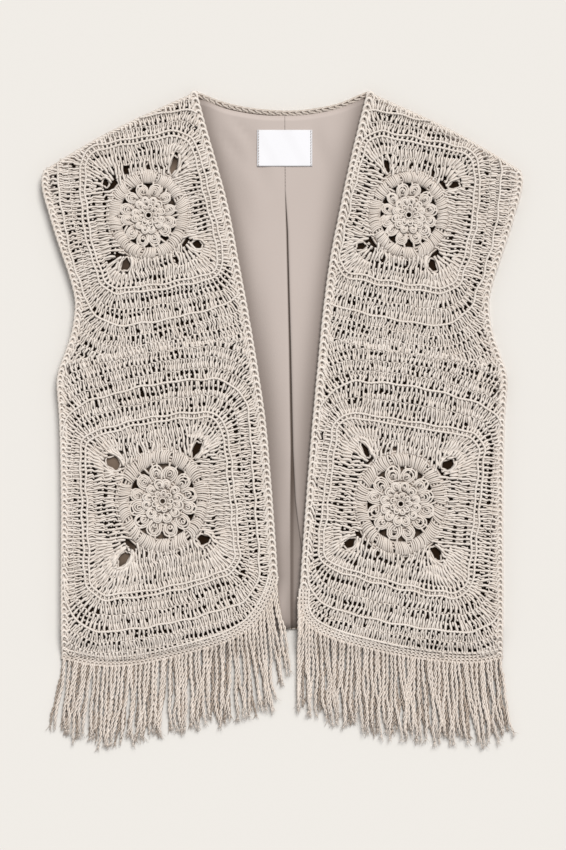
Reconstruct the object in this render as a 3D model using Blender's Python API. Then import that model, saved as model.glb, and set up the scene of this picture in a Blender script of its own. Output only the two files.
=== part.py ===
"""Crochet vest laid flat on a surface, as the pieces it is worked and sewn from.

+X is the wearer's left, +Y runs to the neck and +Z is up from the surface. The origin lies
under the middle of the vest. The tables and sizes below are in millimetres, and the meshes
are made in metres.
"""
import math
import random

import bmesh
import bpy
from mathutils import Vector
from mathutils.geometry import delaunay_2d_cdt

MM = 0.001

# Layers, from the surface up: where each one's underside is, and how thick it is.
SEAM_GAP = 0.3
BACK_THICK = 3.0
LINING_THICK = 1.0
PLEAT_Z = BACK_THICK + SEAM_GAP
BACK_LINING_Z = PLEAT_Z + LINING_THICK + SEAM_GAP
FRONT_LINING_Z = BACK_LINING_Z + LINING_THICK + SEAM_GAP
FRONT_Z = FRONT_LINING_Z + LINING_THICK + SEAM_GAP
LABEL_Z = FRONT_LINING_Z
LABEL_THICK = 0.8
FRONT_THICK = 3.2

# The fronts reach past the back's hem and sag there from the stack to the surface.
BACK_HEM_Y = -229.0
SAG_START_Y = -233.0
SAG_END_Y = -263.0
SAGGED_Z = 0.4
FRONT_SAGGED_Z = SAGGED_Z + LINING_THICK + 0.8

# Half of the vest's width, from the hem up the side, round the armhole to the shoulder.
SIDE_TABLE = (
    # y, half width
    (-262.0, 242.6),
    (-180.0, 243.0),
    (-90.0, 242.8),
    (-10.0, 244.3),
    (22.0, 246.3),
    (39.6, 247.4),
    (54.0, 245.6),
    (74.0, 238.4),
    (95.0, 231.4),
    (114.0, 228.2),
    (132.0, 227.6),
    (154.0, 232.6),
    (180.0, 241.4),
    (207.0, 250.4),
    (228.0, 256.6),
    (246.0, 262.0),
    (263.0, 264.3),
    (273.0, 261.8),
)
SHOULDER_TABLE = (
    # half width, y
    (261.8, 273.0),
    (190.0, 315.5),
    (93.0, 360.4),
)
NECK_TABLE = (
    # x, y of the back neck's edge
    (-84.0, 356.3),
    (-68.0, 350.0),
    (-46.0, 344.3),
    (-24.0, 341.0),
    (0.0, 339.4),
    (20.0, 339.9),
    (42.0, 342.7),
    (64.0, 347.8),
    (84.0, 356.3),
)

# Each front's free edge, from the neck point down the opening and round into the hem.
EDGE_RIGHT_TABLE = (
    # x, y
    (-93.0, 360.4),
    (-82.0, 319.0),
    (-69.3, 275.0),
    (-57.8, 231.0),
    (-47.3, 176.0),
    (-36.9, 121.0),
    (-27.5, 66.0),
    (-17.6, 0.0),
    (-11.6, -66.0),
    (-6.6, -132.0),
    (-4.0, -172.0),
)
HEM_RIGHT_TABLE = (
    # x, y
    (-4.0, -172.0),
    (-7.6, -186.0),
    (-16.5, -206.0),
    (-28.6, -223.0),
    (-43.0, -234.3),
    (-66.0, -245.3),
    (-102.0, -256.0),
    (-129.0, -263.0),
    (-156.0, -268.5),
    (-184.0, -271.0),
    (-212.0, -269.0),
    (-242.6, -262.0),
)
EDGE_LEFT_TABLE = (
    # x, y
    (93.0, 360.4),
    (82.5, 319.0),
    (72.0, 275.0),
    (62.8, 231.0),
    (52.0, 176.0),
    (44.6, 121.0),
    (39.1, 66.0),
    (33.0, 0.0),
    (27.5, -66.0),
    (22.6, -132.0),
    (19.0, -185.0),
)
HEM_LEFT_TABLE = (
    # x, y
    (19.0, -185.0),
    (18.4, -203.0),
    (22.6, -217.5),
    (34.5, -230.0),
    (59.5, -241.5),
    (93.5, -251.0),
    (126.5, -258.5),
    (160.5, -264.0),
    (194.0, -267.0),
    (218.0, -266.5),
    (242.6, -262.0),
)

# Spacing of the samples along the edge lines.
BACK_STEP = 16.0
LINING_STEP = 24.0
FRONT_STEP = 17.0
SHOULDER_STEP = 40.0
NECK_STEP = 11.0
FOLD_STEP = 30.0
FRINGE_STEP = 3.0
SHORTEST_RUN = 0.8
CROSSING_REACH = 14.0
LINING_REACH = 8.0

# Edgings and the small pieces.
BORDER_WIDTH = 9.7
BORDER_SECTION = (
    # part of the width in from the free edge, height above the underside
    (0.0, 0.0),
    (0.0, 2.0),
    (0.24, 3.9),
    (0.50, 3.1),
    (0.76, 4.1),
    (1.0, 2.9),
    (1.0, 0.0),
)
NECK_ROPE_WIDTH = 5.4
NECK_ROPE_HEIGHT = 4.8
NECK_ROPE_SIDES = 8
NECK_ROPE_REACH = 5.0
SIDE_EDGE_CLEARANCE = 2.0
LINING_INSET = 7.0
LINING_NECK_GAP = 0.8
LINING_NECK_START = 6.0
LINING_NECK_DIP = 0.2
FRONT_LINING_INSET = 11.5
LINING_HEM_Y = -226.0
LABEL_SIZE = (61.0, 40.5)
LABEL_CENTRE = (3.0, 298.5)
LABEL_CORNER = 1.2

# The back lining's centre line: a closed seam at the neck, and pleat folds that part below.
PLEAT_TABLE = (
    # y, x of the right half's fold, x of the left half's fold
    (334.0, 2.6, 2.9),
    (253.0, 3.2, 3.5),
    (209.0, 5.0, 6.2),
    (77.0, 8.0, 9.7),
    (-33.0, 9.9, 12.1),
    (-88.0, 9.4, 14.6),
    (-110.0, 9.4, 17.0),
    (-160.0, 9.6, 24.0),
    (-226.0, 9.8, 33.0),
)
PLEAT_CLOTH_X = (-18.0, 54.0)
PLEAT_TOP_Y = 262.0

# The four motifs. A square is its four corners: top left, top right, bottom right, bottom left.
MOTIFS = {
    "upper_right": {
        "centre": (-146.3, 224.4),
        "inner_square": ((-223.0, 295.0), (-101.0, 325.0), (-61.0, 164.0), (-194.0, 135.0)),
        "outer_square": ((-250.0, 283.0), (-93.0, 354.0), (-43.0, 130.0), (-202.0, 103.0)),
    },
    "lower_right": {
        "centre": (-130.9, -89.1),
        "inner_square": ((-217.0, -8.0), (-57.0, 13.0), (-50.0, -166.0), (-209.0, -197.0)),
        "outer_square": ((-241.0, 20.0), (-31.0, 53.0), (-15.0, -196.0), (-235.0, -231.0)),
    },
    "upper_left": {
        "centre": (139.0, 224.7),
        "inner_square": ((94.0, 324.0), (216.0, 295.0), (186.0, 135.0), (54.0, 164.0)),
        "outer_square": ((89.0, 354.0), (246.0, 283.0), (205.0, 106.0), (47.0, 125.0)),
    },
    "lower_left": {
        "centre": (130.1, -92.1),
        "inner_square": ((62.0, 12.0), (221.0, -15.0), (208.0, -200.0), (41.0, -161.0)),
        "outer_square": ((44.0, 54.0), (243.0, 13.0), (229.0, -238.0), (26.0, -198.0)),
    },
}
SQUARE_POWER = 7.0
SQUARE_HALF = 72.0

# Gaps right through the lace, placed from the motif's centre.
HOLES = {
    "upper_right": (
        # dx, dy, length, width, tilt in degrees
        (28, 55, 18.5, 7.7, 74), (-25, -54, 13.0, 8.8, 72), (53, -32, 9.8, 8.8, 0),
        (-47, 36, 8.8, 5.5, 90), (0, 53, 8.8, 4.6, 90), (-24, 50, 6.6, 4.6, -60),
        (3, -53, 7.7, 4.3, -80), (30, -49, 8.8, 5.0, -60), (-45, 29, 5.5, 4.6, 0),
    ),
    "lower_right": (
        (-54, 42, 15.4, 12.0, -40), (-41, 33, 7.6, 5.2, 30), (37, 57, 17.0, 7.7, 65),
        (45, -42, 13.0, 10.0, 0), (-43, -63, 16.5, 10.0, 60), (-33, -49, 5.8, 5.2, 20),
        (-24, 56, 11.0, 4.6, -70), (3, 59, 7.7, 4.3, 85), (-9, -61, 8.8, 4.6, 85),
        (16, -56, 5.5, 4.6, 45),
    ),
    "upper_left": (
        (-24, 54, 14.3, 5.6, -75), (50, 33, 11.0, 6.2, 25), (26, -55, 13.0, 7.7, -70),
        (-52, -34, 9.9, 7.2, 20), (3, 54, 7.7, 4.3, 80), (28, 47, 6.6, 4.3, -70),
        (-28, -47, 5.0, 5.0, 0), (-3, -53, 6.6, 4.3, 80),
    ),
    "lower_left": (
        (-38, 59, 16.5, 6.6, -65), (52, 43, 13.0, 9.9, 30), (39, -54, 15.4, 8.8, -60),
        (-56, -43, 13.0, 8.8, 30), (-6, 60, 9.9, 4.3, 80), (25, 56, 7.7, 4.5, 50),
        (-26, -54, 5.5, 4.5, 0), (5, -58, 5.5, 4.3, 90), (-32, 50, 5.4, 5.0, 0),
    ),
}
HOLE_SIDES = 8
RING_GAPS = 12
RING_GAP_RADIUS = 35.0
RING_GAP_SIZE = (7.4, 4.2)
RING_GAP_SIDES = 6

# Height of the flower and its wrapped ring above the lace, by distance from the centre.
PETALS = 12
FLOWER_PROFILE = (
    # radius, height on a petal, height between petals
    (4.5, 0.5, 0.5),
    (10.0, 1.9, 1.5),
    (15.5, 1.3, 0.8),
    (23.5, 3.0, 1.2),
    (30.0, 2.0, 0.3),
    (38.6, 0.6, 0.6),
    (42.5, 2.5, 2.3),
    (47.5, 1.7, 1.5),
    (50.5, 0.0, 0.0),
)
# Raised lines along the squares: how far out from the square's line, and how high.
DOUBLE_RIDGE = ((-2.4, 0.0), (0.0, 1.2), (2.9, 0.4), (5.8, 1.2), (8.2, 0.0))
SINGLE_RIDGE = ((-2.4, 0.0), (0.0, 1.2), (2.4, 0.0))
SQUARE_SAMPLES = 36
POINT_CLEARANCE = 1.1
RELIEF_SPACING = 1.5

# Points across the sagging stretch: rows by y, and their places from the middle line.
SAG_ROWS = (-231.0, -238.0, -245.0, -252.0, -258.0)
SAG_ROW_START = 26.0
SAG_ROW_PITCH = 13.0
SAG_ROW_COUNT = 18

# Fringe.
STRANDS = 52
STRAND_WIDTH = 2.8
STRAND_THICK = 2.4
STRAND_TAPER = 0.78
STRAND_SEGMENTS = 4
STRIP_WIDTH = 2.4
STRIP_LIFT = 0.4
INNER_STRAND_INSET = 3.2
OUTER_STRAND_INSET = 2.6
CORNER_RUN = 3.0
CORNER_DROP = 20.0
FIRST_DROP = 0.1
SPLAY_POWER = 1.2
WAVE_SIZE = 0.7
WAVE_BY_STRAND = 0.45
WAVE_BY_LENGTH = 4.0
TIP_JITTER = (-1.5, 3.0)
FRINGE_SEEDS = {-1: 11, 1: 23}
TIP_RIGHT_TABLE = (
    # x, y of the strands' tips
    (9.0, -290.0),
    (-6.0, -310.0),
    (-19.0, -321.0),
    (-38.5, -331.0),
    (-88.0, -338.0),
    (-135.0, -350.0),
    (-165.0, -358.0),
    (-200.0, -360.0),
    (-233.0, -352.0),
    (-252.0, -344.0),
)
TIP_LEFT_TABLE = (
    # x, y of the strands' tips
    (20.0, -318.0),
    (42.0, -331.0),
    (69.0, -340.0),
    (98.0, -346.0),
    (130.0, -350.0),
    (165.0, -356.0),
    (200.0, -360.0),
    (226.0, -357.0),
    (253.0, -349.0),
)
LOWEST_TIP_Y = -360.4

# Finishes: base colour, roughness.
FINISHES = {
    "yarn": ((0.72, 0.65, 0.56), 0.9),
    "lining": ((0.56, 0.50, 0.45), 0.6),
    "label": ((0.88, 0.86, 0.83), 0.7),
}


def clear_scene():
    for item in list(bpy.data.objects):
        bpy.data.objects.remove(item, do_unlink=True)


def finish(name):
    """The named Principled material, made the first time it is asked for."""
    material = bpy.data.materials.get(name)
    if material is None:
        colour, roughness = FINISHES[name]
        material = bpy.data.materials.new(name)
        material.use_nodes = True
        shader = material.node_tree.nodes["Principled BSDF"]
        shader.inputs["Base Color"].default_value = (*colour, 1.0)
        shader.inputs["Roughness"].default_value = roughness
        shader.inputs["Metallic"].default_value = 0.0
    return material


def add_object(name, points, faces, finish_name, smooth_angle=40.0):
    """One closed mesh object from points in millimetres."""
    mesh = bpy.data.meshes.new(name)
    mesh.from_pydata([Vector(p) * MM for p in points], [], faces)
    shape = bmesh.new()
    shape.from_mesh(mesh)
    bmesh.ops.recalc_face_normals(shape, faces=shape.faces)
    bmesh.ops.triangulate(shape, faces=shape.faces)
    shape.to_mesh(mesh)
    shape.free()
    mesh.shade_smooth()
    mesh.set_sharp_from_angle(angle=math.radians(smooth_angle))
    mesh.materials.append(finish(finish_name))
    item = bpy.data.objects.new(name, mesh)
    bpy.context.collection.objects.link(item)
    return item


def smoothstep(value):
    value = min(max(value, 0.0), 1.0)
    return value * value * (3.0 - 2.0 * value)


def sagging(stacked, sagged):
    """An underside's height by y: on the stack, then sagging past the back's hem."""
    def height(y):
        sag = smoothstep((SAG_START_Y - y) / (SAG_START_Y - SAG_END_Y))
        return stacked + (sagged - stacked) * sag
    return height


front_underside = sagging(FRONT_Z, FRONT_SAGGED_Z)
lining_underside = sagging(FRONT_LINING_Z, SAGGED_Z)
hem_underside = sagging(FRONT_Z, SAGGED_Z)


def curve_through(points, step):
    """Catmull-Rom line through the points, with a sample about each step."""
    line = []
    last = len(points) - 1
    for i in range(last):
        before = points[max(i - 1, 0)]
        start = points[i]
        end = points[i + 1]
        after = points[min(i + 2, last)]
        count = max(1, round(math.dist(start, end) / step))
        for k in range(count):
            t = k / count
            sample = []
            for a, b, c, d in zip(before, start, end, after):
                slope = (c - a) * t
                square = (2 * a - 5 * b + 4 * c - d) * t * t
                cube = (3 * b - a - 3 * c + d) * t ** 3
                sample.append(0.5 * (2 * b + slope + square + cube))
            line.append(tuple(sample))
    line.append(tuple(points[-1]))
    return line


def tangents(line):
    """Unit direction of the line at each of its points."""
    result = []
    last = len(line) - 1
    for i in range(len(line)):
        a = line[max(i - 1, 0)]
        b = line[min(i + 1, last)]
        length = math.dist(a, b)
        result.append(((b[0] - a[0]) / length, (b[1] - a[1]) / length))
    return result


def offset(line, distance):
    """The line moved by the distance to its left."""
    moved = []
    for (x, y), (tx, ty) in zip(line, tangents(line)):
        moved.append((x - ty * distance, y + tx * distance))
    return moved


def crossing(a, b, c, d):
    """Where segment a-b meets segment c-d, or None."""
    ux, uy = b[0] - a[0], b[1] - a[1]
    vx, vy = d[0] - c[0], d[1] - c[1]
    cross = ux * vy - uy * vx
    if abs(cross) < 1e-12:
        return None
    wx, wy = c[0] - a[0], c[1] - a[1]
    s = (wx * vy - wy * vx) / cross
    t = (wx * uy - wy * ux) / cross
    if 0.0 <= s <= 1.0 and 0.0 <= t <= 1.0:
        return (a[0] + ux * s, a[1] + uy * s)
    return None


def lengthen(line, amount):
    """The line with its first and last runs made longer."""
    first_way, *_, last_way = tangents(line)
    start = (line[0][0] - first_way[0] * amount, line[0][1] - first_way[1] * amount)
    end = (line[-1][0] + last_way[0] * amount, line[-1][1] + last_way[1] * amount)
    return [start] + line[1:-1] + [end]


def join_at_crossing(first, second):
    """The first line up to where it meets the second, then the second from there."""
    for i in range(len(first) - 1):
        for k in range(len(second) - 1):
            point = crossing(first[i], first[i + 1], second[k], second[k + 1])
            if point is not None:
                return first[:i + 1] + [point], [point] + second[k + 1:]
    raise ValueError("two edge lines of a piece never meet")


def ring_of(lines, reach=CROSSING_REACH):
    """A closed outline from lines that each cross the next one."""
    pieces = [lengthen(line, reach) for line in lines]
    for i in range(len(pieces)):
        after = (i + 1) % len(pieces)
        pieces[i], pieces[after] = join_at_crossing(pieces[i], pieces[after])
    outline = []
    for piece in pieces:
        outline.extend(piece[:-1])
    kept = [outline[0]]
    for point in outline[1:]:
        if math.dist(point, kept[-1]) > SHORTEST_RUN:
            kept.append(point)
    if math.dist(kept[0], kept[-1]) < SHORTEST_RUN:
        kept.pop()
    return kept


def area_of(loop):
    total = 0.0
    for a, b in zip(loop, loop[1:] + loop[:1]):
        total += a[0] * b[1] - b[0] * a[1]
    return total / 2.0


def inside(point, loop):
    """True where the point lies inside the closed loop."""
    x, y = point
    found = False
    for a, b in zip(loop, loop[1:] + loop[:1]):
        if (a[1] > y) != (b[1] > y) and x < a[0] + (y - a[1]) * (b[0] - a[0]) / (b[1] - a[1]):
            found = not found
    return found


def distance_to(point, loop):
    """Distance from the point to the closed loop's nearest edge."""
    nearest = math.inf
    x, y = point
    for a, b in zip(loop, loop[1:] + loop[:1]):
        ux, uy = b[0] - a[0], b[1] - a[1]
        length = ux * ux + uy * uy
        t = min(max(((x - a[0]) * ux + (y - a[1]) * uy) / length, 0.0), 1.0)
        nearest = min(nearest, math.hypot(x - a[0] - ux * t, y - a[1] - uy * t))
    return nearest


def fill_between(outline, holes, inner):
    """Triangles between the outline and its holes, through the inner points."""
    loops = [outline] + holes
    points = []
    edges = []
    for loop in loops:
        start = len(points)
        points.extend(loop)
        for k in range(len(loop)):
            edges.append((start + k, start + (k + 1) % len(loop)))
    points.extend(inner)
    flat = [Vector(p) for p in points]
    found, _, faces, origins, _, _ = delaunay_2d_cdt(flat, edges, [], 0, 1e-5)
    triangles = []
    for face in faces:
        centre = (sum(found[i].x for i in face) / 3.0, sum(found[i].y for i in face) / 3.0)
        if inside(centre, outline) and not any(inside(centre, hole) for hole in holes):
            triangles.append([origins[i][0] for i in face])
    return triangles


def wall(name, outline, underside, thickness, finish_name, holes=(), relief=(), fold_points=()):
    """A closed sheet: a plain underside, a raised upper side, and cut holes.

    The relief is a list of (x, y, height above the upper side). The fold points lie on both
    sides, where the sheet bends.
    """
    holes = list(holes)
    boundary = [p for loop in [outline] + holes for p in loop]
    folds = keep_clear(fold_points, outline, holes)
    raised = keep_clear(relief, outline, holes)
    top_flat = boundary + [p[:2] for p in folds] + [p[:2] for p in raised]
    heights = [0.0] * (len(boundary) + len(folds)) + [p[2] for p in raised]
    bottom_flat = boundary + [p[:2] for p in folds]
    top = [(x, y, underside(y) + thickness + h) for (x, y), h in zip(top_flat, heights)]
    bottom = [(x, y, underside(y)) for x, y in bottom_flat]
    faces = fill_between(outline, holes, top_flat[len(boundary):])
    base = len(top)
    for a, b, c in fill_between(outline, holes, bottom_flat[len(boundary):]):
        faces.append((base + c, base + b, base + a))
    start = 0
    for loop in [outline] + holes:
        count = len(loop)
        for k in range(count):
            here = start + k
            there = start + (k + 1) % count
            faces.append((here, base + here, base + there, there))
        start += count
    return add_object(name, top + bottom, faces, finish_name)


def keep_clear(points, outline, holes):
    """The points that lie well inside the outline and clear of its holes."""
    kept = []
    for point in points:
        flat = point[:2]
        if not inside(flat, outline) or distance_to(flat, outline) < POINT_CLEARANCE:
            continue
        if any(inside(flat, h) or distance_to(flat, h) < POINT_CLEARANCE for h in holes):
            continue
        kept.append(point)
    return kept


def sweep(name, line, ways, section, inward, underside, finish_name):
    """A closed strip: the section carried along the line, lying on the underside's height.

    The ways are the line's unit directions, and inward is 1 where the strip is on their left.
    """
    rings = []
    for (x, y), (tx, ty) in zip(line, ways):
        ring = []
        for across, up in section:
            px = x - ty * across * inward
            py = y + tx * across * inward
            ring.append((px, py, underside(py) + up))
        rings.append(ring)
    sides = len(section)
    points = [p for ring in rings for p in ring]
    faces = []
    for i in range(len(rings) - 1):
        for k in range(sides):
            after = (k + 1) % sides
            here = i * sides
            there = here + sides
            faces.append((here + k, here + after, there + after, there + k))
    faces.append(tuple(range(sides)))
    faces.append(tuple(reversed(range(len(points) - sides, len(points)))))
    return add_object(name, points, faces, finish_name)


def oval(centre, length, width, tilt, sides):
    """A closed oval; its length lies along the tilt, in degrees from +X."""
    turn = math.radians(tilt)
    points = []
    for k in range(sides):
        angle = 2.0 * math.pi * (k + 0.5) / sides
        along = 0.5 * length * math.cos(angle)
        across = 0.5 * width * math.sin(angle)
        x = centre[0] + along * math.cos(turn) - across * math.sin(turn)
        y = centre[1] + along * math.sin(turn) + across * math.cos(turn)
        points.append((x, y))
    return points


def square_point(corners, angle, grow):
    """A point on the rounded square through four corners, grown outward by some millimetres."""
    c = math.cos(angle)
    s = math.sin(angle)
    size = (abs(c) ** SQUARE_POWER + abs(s) ** SQUARE_POWER) ** (-1.0 / SQUARE_POWER)
    scale = size * (1.0 + grow / SQUARE_HALF)
    u = c * scale
    v = s * scale
    weights = ((1 - u) * (1 + v), (1 + u) * (1 + v), (1 + u) * (1 - v), (1 - u) * (1 - v))
    x = sum(w * p[0] for w, p in zip(weights, corners)) / 4.0
    y = sum(w * p[1] for w, p in zip(weights, corners)) / 4.0
    return x, y


def motif_holes(name):
    """Cut gaps of one motif: the gaps in its table, and the ring of gaps round the flower."""
    motif = MOTIFS[name]
    cx, cy = motif["centre"]
    loops = []
    for dx, dy, length, width, tilt in HOLES[name]:
        loops.append(oval((cx + dx, cy + dy), length, width, tilt, HOLE_SIDES))
    for k in range(RING_GAPS):
        angle = 360.0 * (k + 0.5) / RING_GAPS
        x = cx + RING_GAP_RADIUS * math.cos(math.radians(angle))
        y = cy + RING_GAP_RADIUS * math.sin(math.radians(angle))
        loops.append(oval((x, y), *RING_GAP_SIZE, angle + 90.0, RING_GAP_SIDES))
    return loops


def motif_relief(name):
    """Raised points of one motif: the flower, its wrapped ring, and the ridges of its squares."""
    motif = MOTIFS[name]
    cx, cy = motif["centre"]
    points = [(cx, cy, 0.0)]
    for radius, on_petal, between in FLOWER_PROFILE:
        for k in range(2 * PETALS):
            angle = math.pi * k / PETALS
            height = on_petal if k % 2 == 0 else between
            points.append((cx + radius * math.cos(angle), cy + radius * math.sin(angle), height))
    ridges = ((motif["inner_square"], DOUBLE_RIDGE), (motif["outer_square"], SINGLE_RIDGE))
    for corners, ridge in ridges:
        for grow, height in ridge:
            for k in range(SQUARE_SAMPLES):
                angle = 2.0 * math.pi * (k + 0.5) / SQUARE_SAMPLES
                x, y = square_point(corners, angle, grow)
                points.append((x, y, height))
    return points


def side_line(side, step):
    """The vest's side edge from the hem up to the shoulder's tip. Side is -1 right, 1 left."""
    return curve_through([(side * half, y) for y, half in SIDE_TABLE], step)


def shoulder_line(side, step):
    """The shoulder from its tip in to the neck point."""
    return curve_through([(side * half, y) for half, y in SHOULDER_TABLE], step)


def free_edge(side, step):
    """A front's free edge with the hem that it rounds into, and the index where the hem starts."""
    opening = EDGE_RIGHT_TABLE if side < 0 else EDGE_LEFT_TABLE
    hem = HEM_RIGHT_TABLE if side < 0 else HEM_LEFT_TABLE
    whole = curve_through(opening + hem[1:], step)
    corner = opening[-1]
    split = min(range(len(whole)), key=lambda i: math.dist(whole[i], corner))
    return whole, split


def front_outline(side, inset, shoulder_inset, side_inset):
    """Closed outline of a front's layer, inset from the vest's edges."""
    edge, _ = free_edge(side, FRONT_STEP)
    lines = [
        offset(edge, side * inset),
        offset(side_line(side, FRONT_STEP), side * side_inset),
        offset(shoulder_line(side, FRONT_STEP), side * shoulder_inset),
    ]
    outline = ring_of(lines)
    return outline if area_of(outline) > 0 else outline[::-1]


def sag_points(side):
    """Points in the sagging stretch of a front, so that both of its sides follow the sag."""
    points = []
    for row, y in enumerate(SAG_ROWS):
        start = SAG_ROW_START + SAG_ROW_PITCH / 2 * (row % 2)
        for k in range(SAG_ROW_COUNT):
            points.append((side * (start + SAG_ROW_PITCH * k), y))
    return points


def flat_at(height):
    """An underside that is level."""
    return lambda y: height


def make_back():
    """The back panel's outline: up the left side, round the neck and down the right side."""
    right_side = side_line(-1, BACK_STEP)
    left_side = side_line(1, BACK_STEP)
    neck = curve_through(NECK_TABLE, BACK_STEP)
    points = [p for p in left_side if p[1] > BACK_HEM_Y]
    points += shoulder_line(1, SHOULDER_STEP)[1:]
    points += neck[::-1]
    points += shoulder_line(-1, SHOULDER_STEP)[:0:-1]
    points += [p for p in right_side[::-1] if p[1] > BACK_HEM_Y]
    half = SIDE_TABLE[1][1]
    points += [(-half, BACK_HEM_Y), (half, BACK_HEM_Y)]
    wall("back", points, flat_at(0.0), BACK_THICK, "yarn")


def make_back_lining():
    """Two halves that meet at the centre seam and part at the pleat, and the cloth behind."""
    neck = offset(curve_through(NECK_TABLE, NECK_STEP), -NECK_ROPE_WIDTH - LINING_NECK_GAP)
    right_fold = curve_through([(right, y) for y, right, _ in PLEAT_TABLE], FOLD_STEP)
    left_fold = curve_through([(left, y) for y, _, left in PLEAT_TABLE], FOLD_STEP)
    half = SIDE_TABLE[1][1] - LINING_INSET
    for side, fold, name in ((-1, right_fold, "right"), (1, left_fold, "left")):
        hem = [(fold[-1][0], LINING_HEM_Y), (side * half, LINING_HEM_Y)]
        shoulder = offset(shoulder_line(side, LINING_STEP), side * LINING_INSET)
        neck_side = [p for p in neck if side * p[0] > LINING_NECK_START]
        if side < 0:
            neck_side = neck_side[::-1]
        neck_side = [(fold[0][0], neck_side[0][1] - LINING_NECK_DIP)] + neck_side
        outer = offset(side_line(side, LINING_STEP), side * LINING_INSET)
        outline = ring_of([fold, hem, outer, shoulder, neck_side[::-1]], LINING_REACH)
        if area_of(outline) < 0:
            outline.reverse()
        wall("lining_back_" + name, outline, flat_at(BACK_LINING_Z), LINING_THICK, "lining")
    low, high = PLEAT_CLOTH_X
    strip = [(low, LINING_HEM_Y), (high, LINING_HEM_Y), (high, PLEAT_TOP_Y), (low, PLEAT_TOP_Y)]
    wall("lining_pleat", strip, flat_at(PLEAT_Z), LINING_THICK, "lining")


def make_label():
    """A bare woven label with softly cut corners."""
    width, height = LABEL_SIZE
    points = []
    for sx, sy in ((1, 1), (-1, 1), (-1, -1), (1, -1)):
        corner = (LABEL_CENTRE[0] + sx * width / 2, LABEL_CENTRE[1] + sy * height / 2)
        first = (corner[0] - sx * LABEL_CORNER, corner[1])
        second = (corner[0], corner[1] - sy * LABEL_CORNER)
        points += [second, first] if sx * sy > 0 else [first, second]
    wall("label", points, flat_at(LABEL_Z), LABEL_THICK, "label")


def make_front(side, name):
    """One lace front with its lining, its braided edges and its hem band."""
    inset = BORDER_WIDTH + SEAM_GAP
    outline = front_outline(side, inset, 0.0, inset)
    holes = []
    relief = []
    for place in ("upper_", "lower_"):
        holes += motif_holes(place + name)
        relief += motif_relief(place + name)
    wall("front_" + name, outline, front_underside, FRONT_THICK, "yarn",
         holes=holes, relief=spread_out(relief), fold_points=sag_points(side))

    lining = front_outline(side, FRONT_LINING_INSET, LINING_INSET, FRONT_LINING_INSET)
    wall("lining_front_" + name, lining, lining_underside, LINING_THICK, "lining",
         fold_points=sag_points(side))

    section = [(part * BORDER_WIDTH, up) for part, up in BORDER_SECTION]
    edge, corner = free_edge(side, FRONT_STEP)
    ways = tangents(edge)
    parts = (
        ("border_front_", edge[:corner + 1], ways[:corner + 1]),
        ("hem_band_", edge[corner:], ways[corner:]),
    )
    for start, line, line_ways in parts:
        line = draw_in(line, line_ways, SEAM_GAP / 2)
        sweep(start + name, line, line_ways, section, side, hem_underside, "yarn")
    side_edge = side_line(side, FRONT_STEP)
    band_top = (side_edge[0][0], side_edge[0][1] + BORDER_WIDTH + SEAM_GAP * 2)
    above = band_top[1] + SIDE_EDGE_CLEARANCE
    side_edge = [band_top] + [p for p in side_edge if p[1] > above]
    sweep("edge_side_" + name, side_edge, tangents(side_edge), section, side,
          hem_underside, "yarn")


def spread_out(points, apart=RELIEF_SPACING):
    """The points without any that crowd an earlier one."""
    kept = []
    for point in points:
        if all(math.dist(point[:2], other[:2]) > apart for other in kept):
            kept.append(point)
    return kept


def draw_in(line, ways, amount):
    """The line with its two ends drawn in a little."""
    start = (line[0][0] + ways[0][0] * amount, line[0][1] + ways[0][1] * amount)
    end = (line[-1][0] - ways[-1][0] * amount, line[-1][1] - ways[-1][1] * amount)
    return [start] + line[1:-1] + [end]


def make_neck_border():
    """The back neck's rope: an oval section along the neck, on the back panel."""
    line = curve_through(NECK_TABLE, NECK_STEP)
    line = draw_in(line, tangents(line), NECK_ROPE_REACH)
    line = [line[0]] + line[2:-2] + [line[-1]]
    section = []
    for k in range(NECK_ROPE_SIDES):
        angle = 2.0 * math.pi * (k + 0.5) / NECK_ROPE_SIDES
        across = 0.5 * NECK_ROPE_WIDTH * (1.0 + math.cos(angle))
        up = 0.5 * NECK_ROPE_HEIGHT * (1.0 + math.sin(angle))
        section.append((across, up))
    sweep("border_neck", line, tangents(line), section, -1, flat_at(PLEAT_Z), "yarn")


def at_x(table, x):
    """The table's y at some x, by straight runs between its rows."""
    rows = sorted(table)
    if x <= rows[0][0]:
        return rows[0][1]
    for (x0, y0), (x1, y1) in zip(rows, rows[1:]):
        if x <= x1:
            return y0 + (y1 - y0) * (x - x0) / (x1 - x0)
    return rows[-1][1]


def make_fringe(side, name, tip_table):
    """Strands of four sides, each grown from its own patch of the root strip's outer face."""
    edge, corner = free_edge(side, FRINGE_STEP)
    hem = edge[corner:]
    start_x, start_y = hem[0]
    rooted = [p for p in hem if abs(p[0] - start_x) > CORNER_RUN or p[1] < start_y - CORNER_DROP]
    inner_x = min(abs(p[0]) for p in rooted) + INNER_STRAND_INSET
    outer_x = max(abs(p[0]) for p in rooted) - OUTER_STRAND_INSET
    rng = random.Random(FRINGE_SEEDS[side])
    points = []
    faces = []
    previous = None
    for i in range(STRANDS):
        part = i / (STRANDS - 1)
        x = side * (inner_x + (outer_x - inner_x) * part)
        for shift, open_patch in ((-0.5, False), (0.5, True)):
            start = len(points)
            points.extend(strip_station(rooted, x + side * shift * STRAND_WIDTH, hem))
            if previous is None:
                faces.append((start, start + 1, start + 2, start + 3))
            else:
                for k in range(4):
                    if k == 1 and open_patch:
                        continue
                    after = (k + 1) % 4
                    faces.append((previous + k, previous + after, start + after, start + k))
                before = previous
            previous = start
        root = [before + 1, before + 2, previous + 2, previous + 1]
        tip_x, tip_y = line_at(tip_table, part)
        tip_y = max(tip_y + rng.uniform(*TIP_JITTER), LOWEST_TIP_Y)
        grow_strand(points, faces, root, (tip_x, tip_y), i)
    faces.append((previous + 3, previous + 2, previous + 1, previous))
    add_object("fringe_" + name, points, faces, "yarn")


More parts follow.
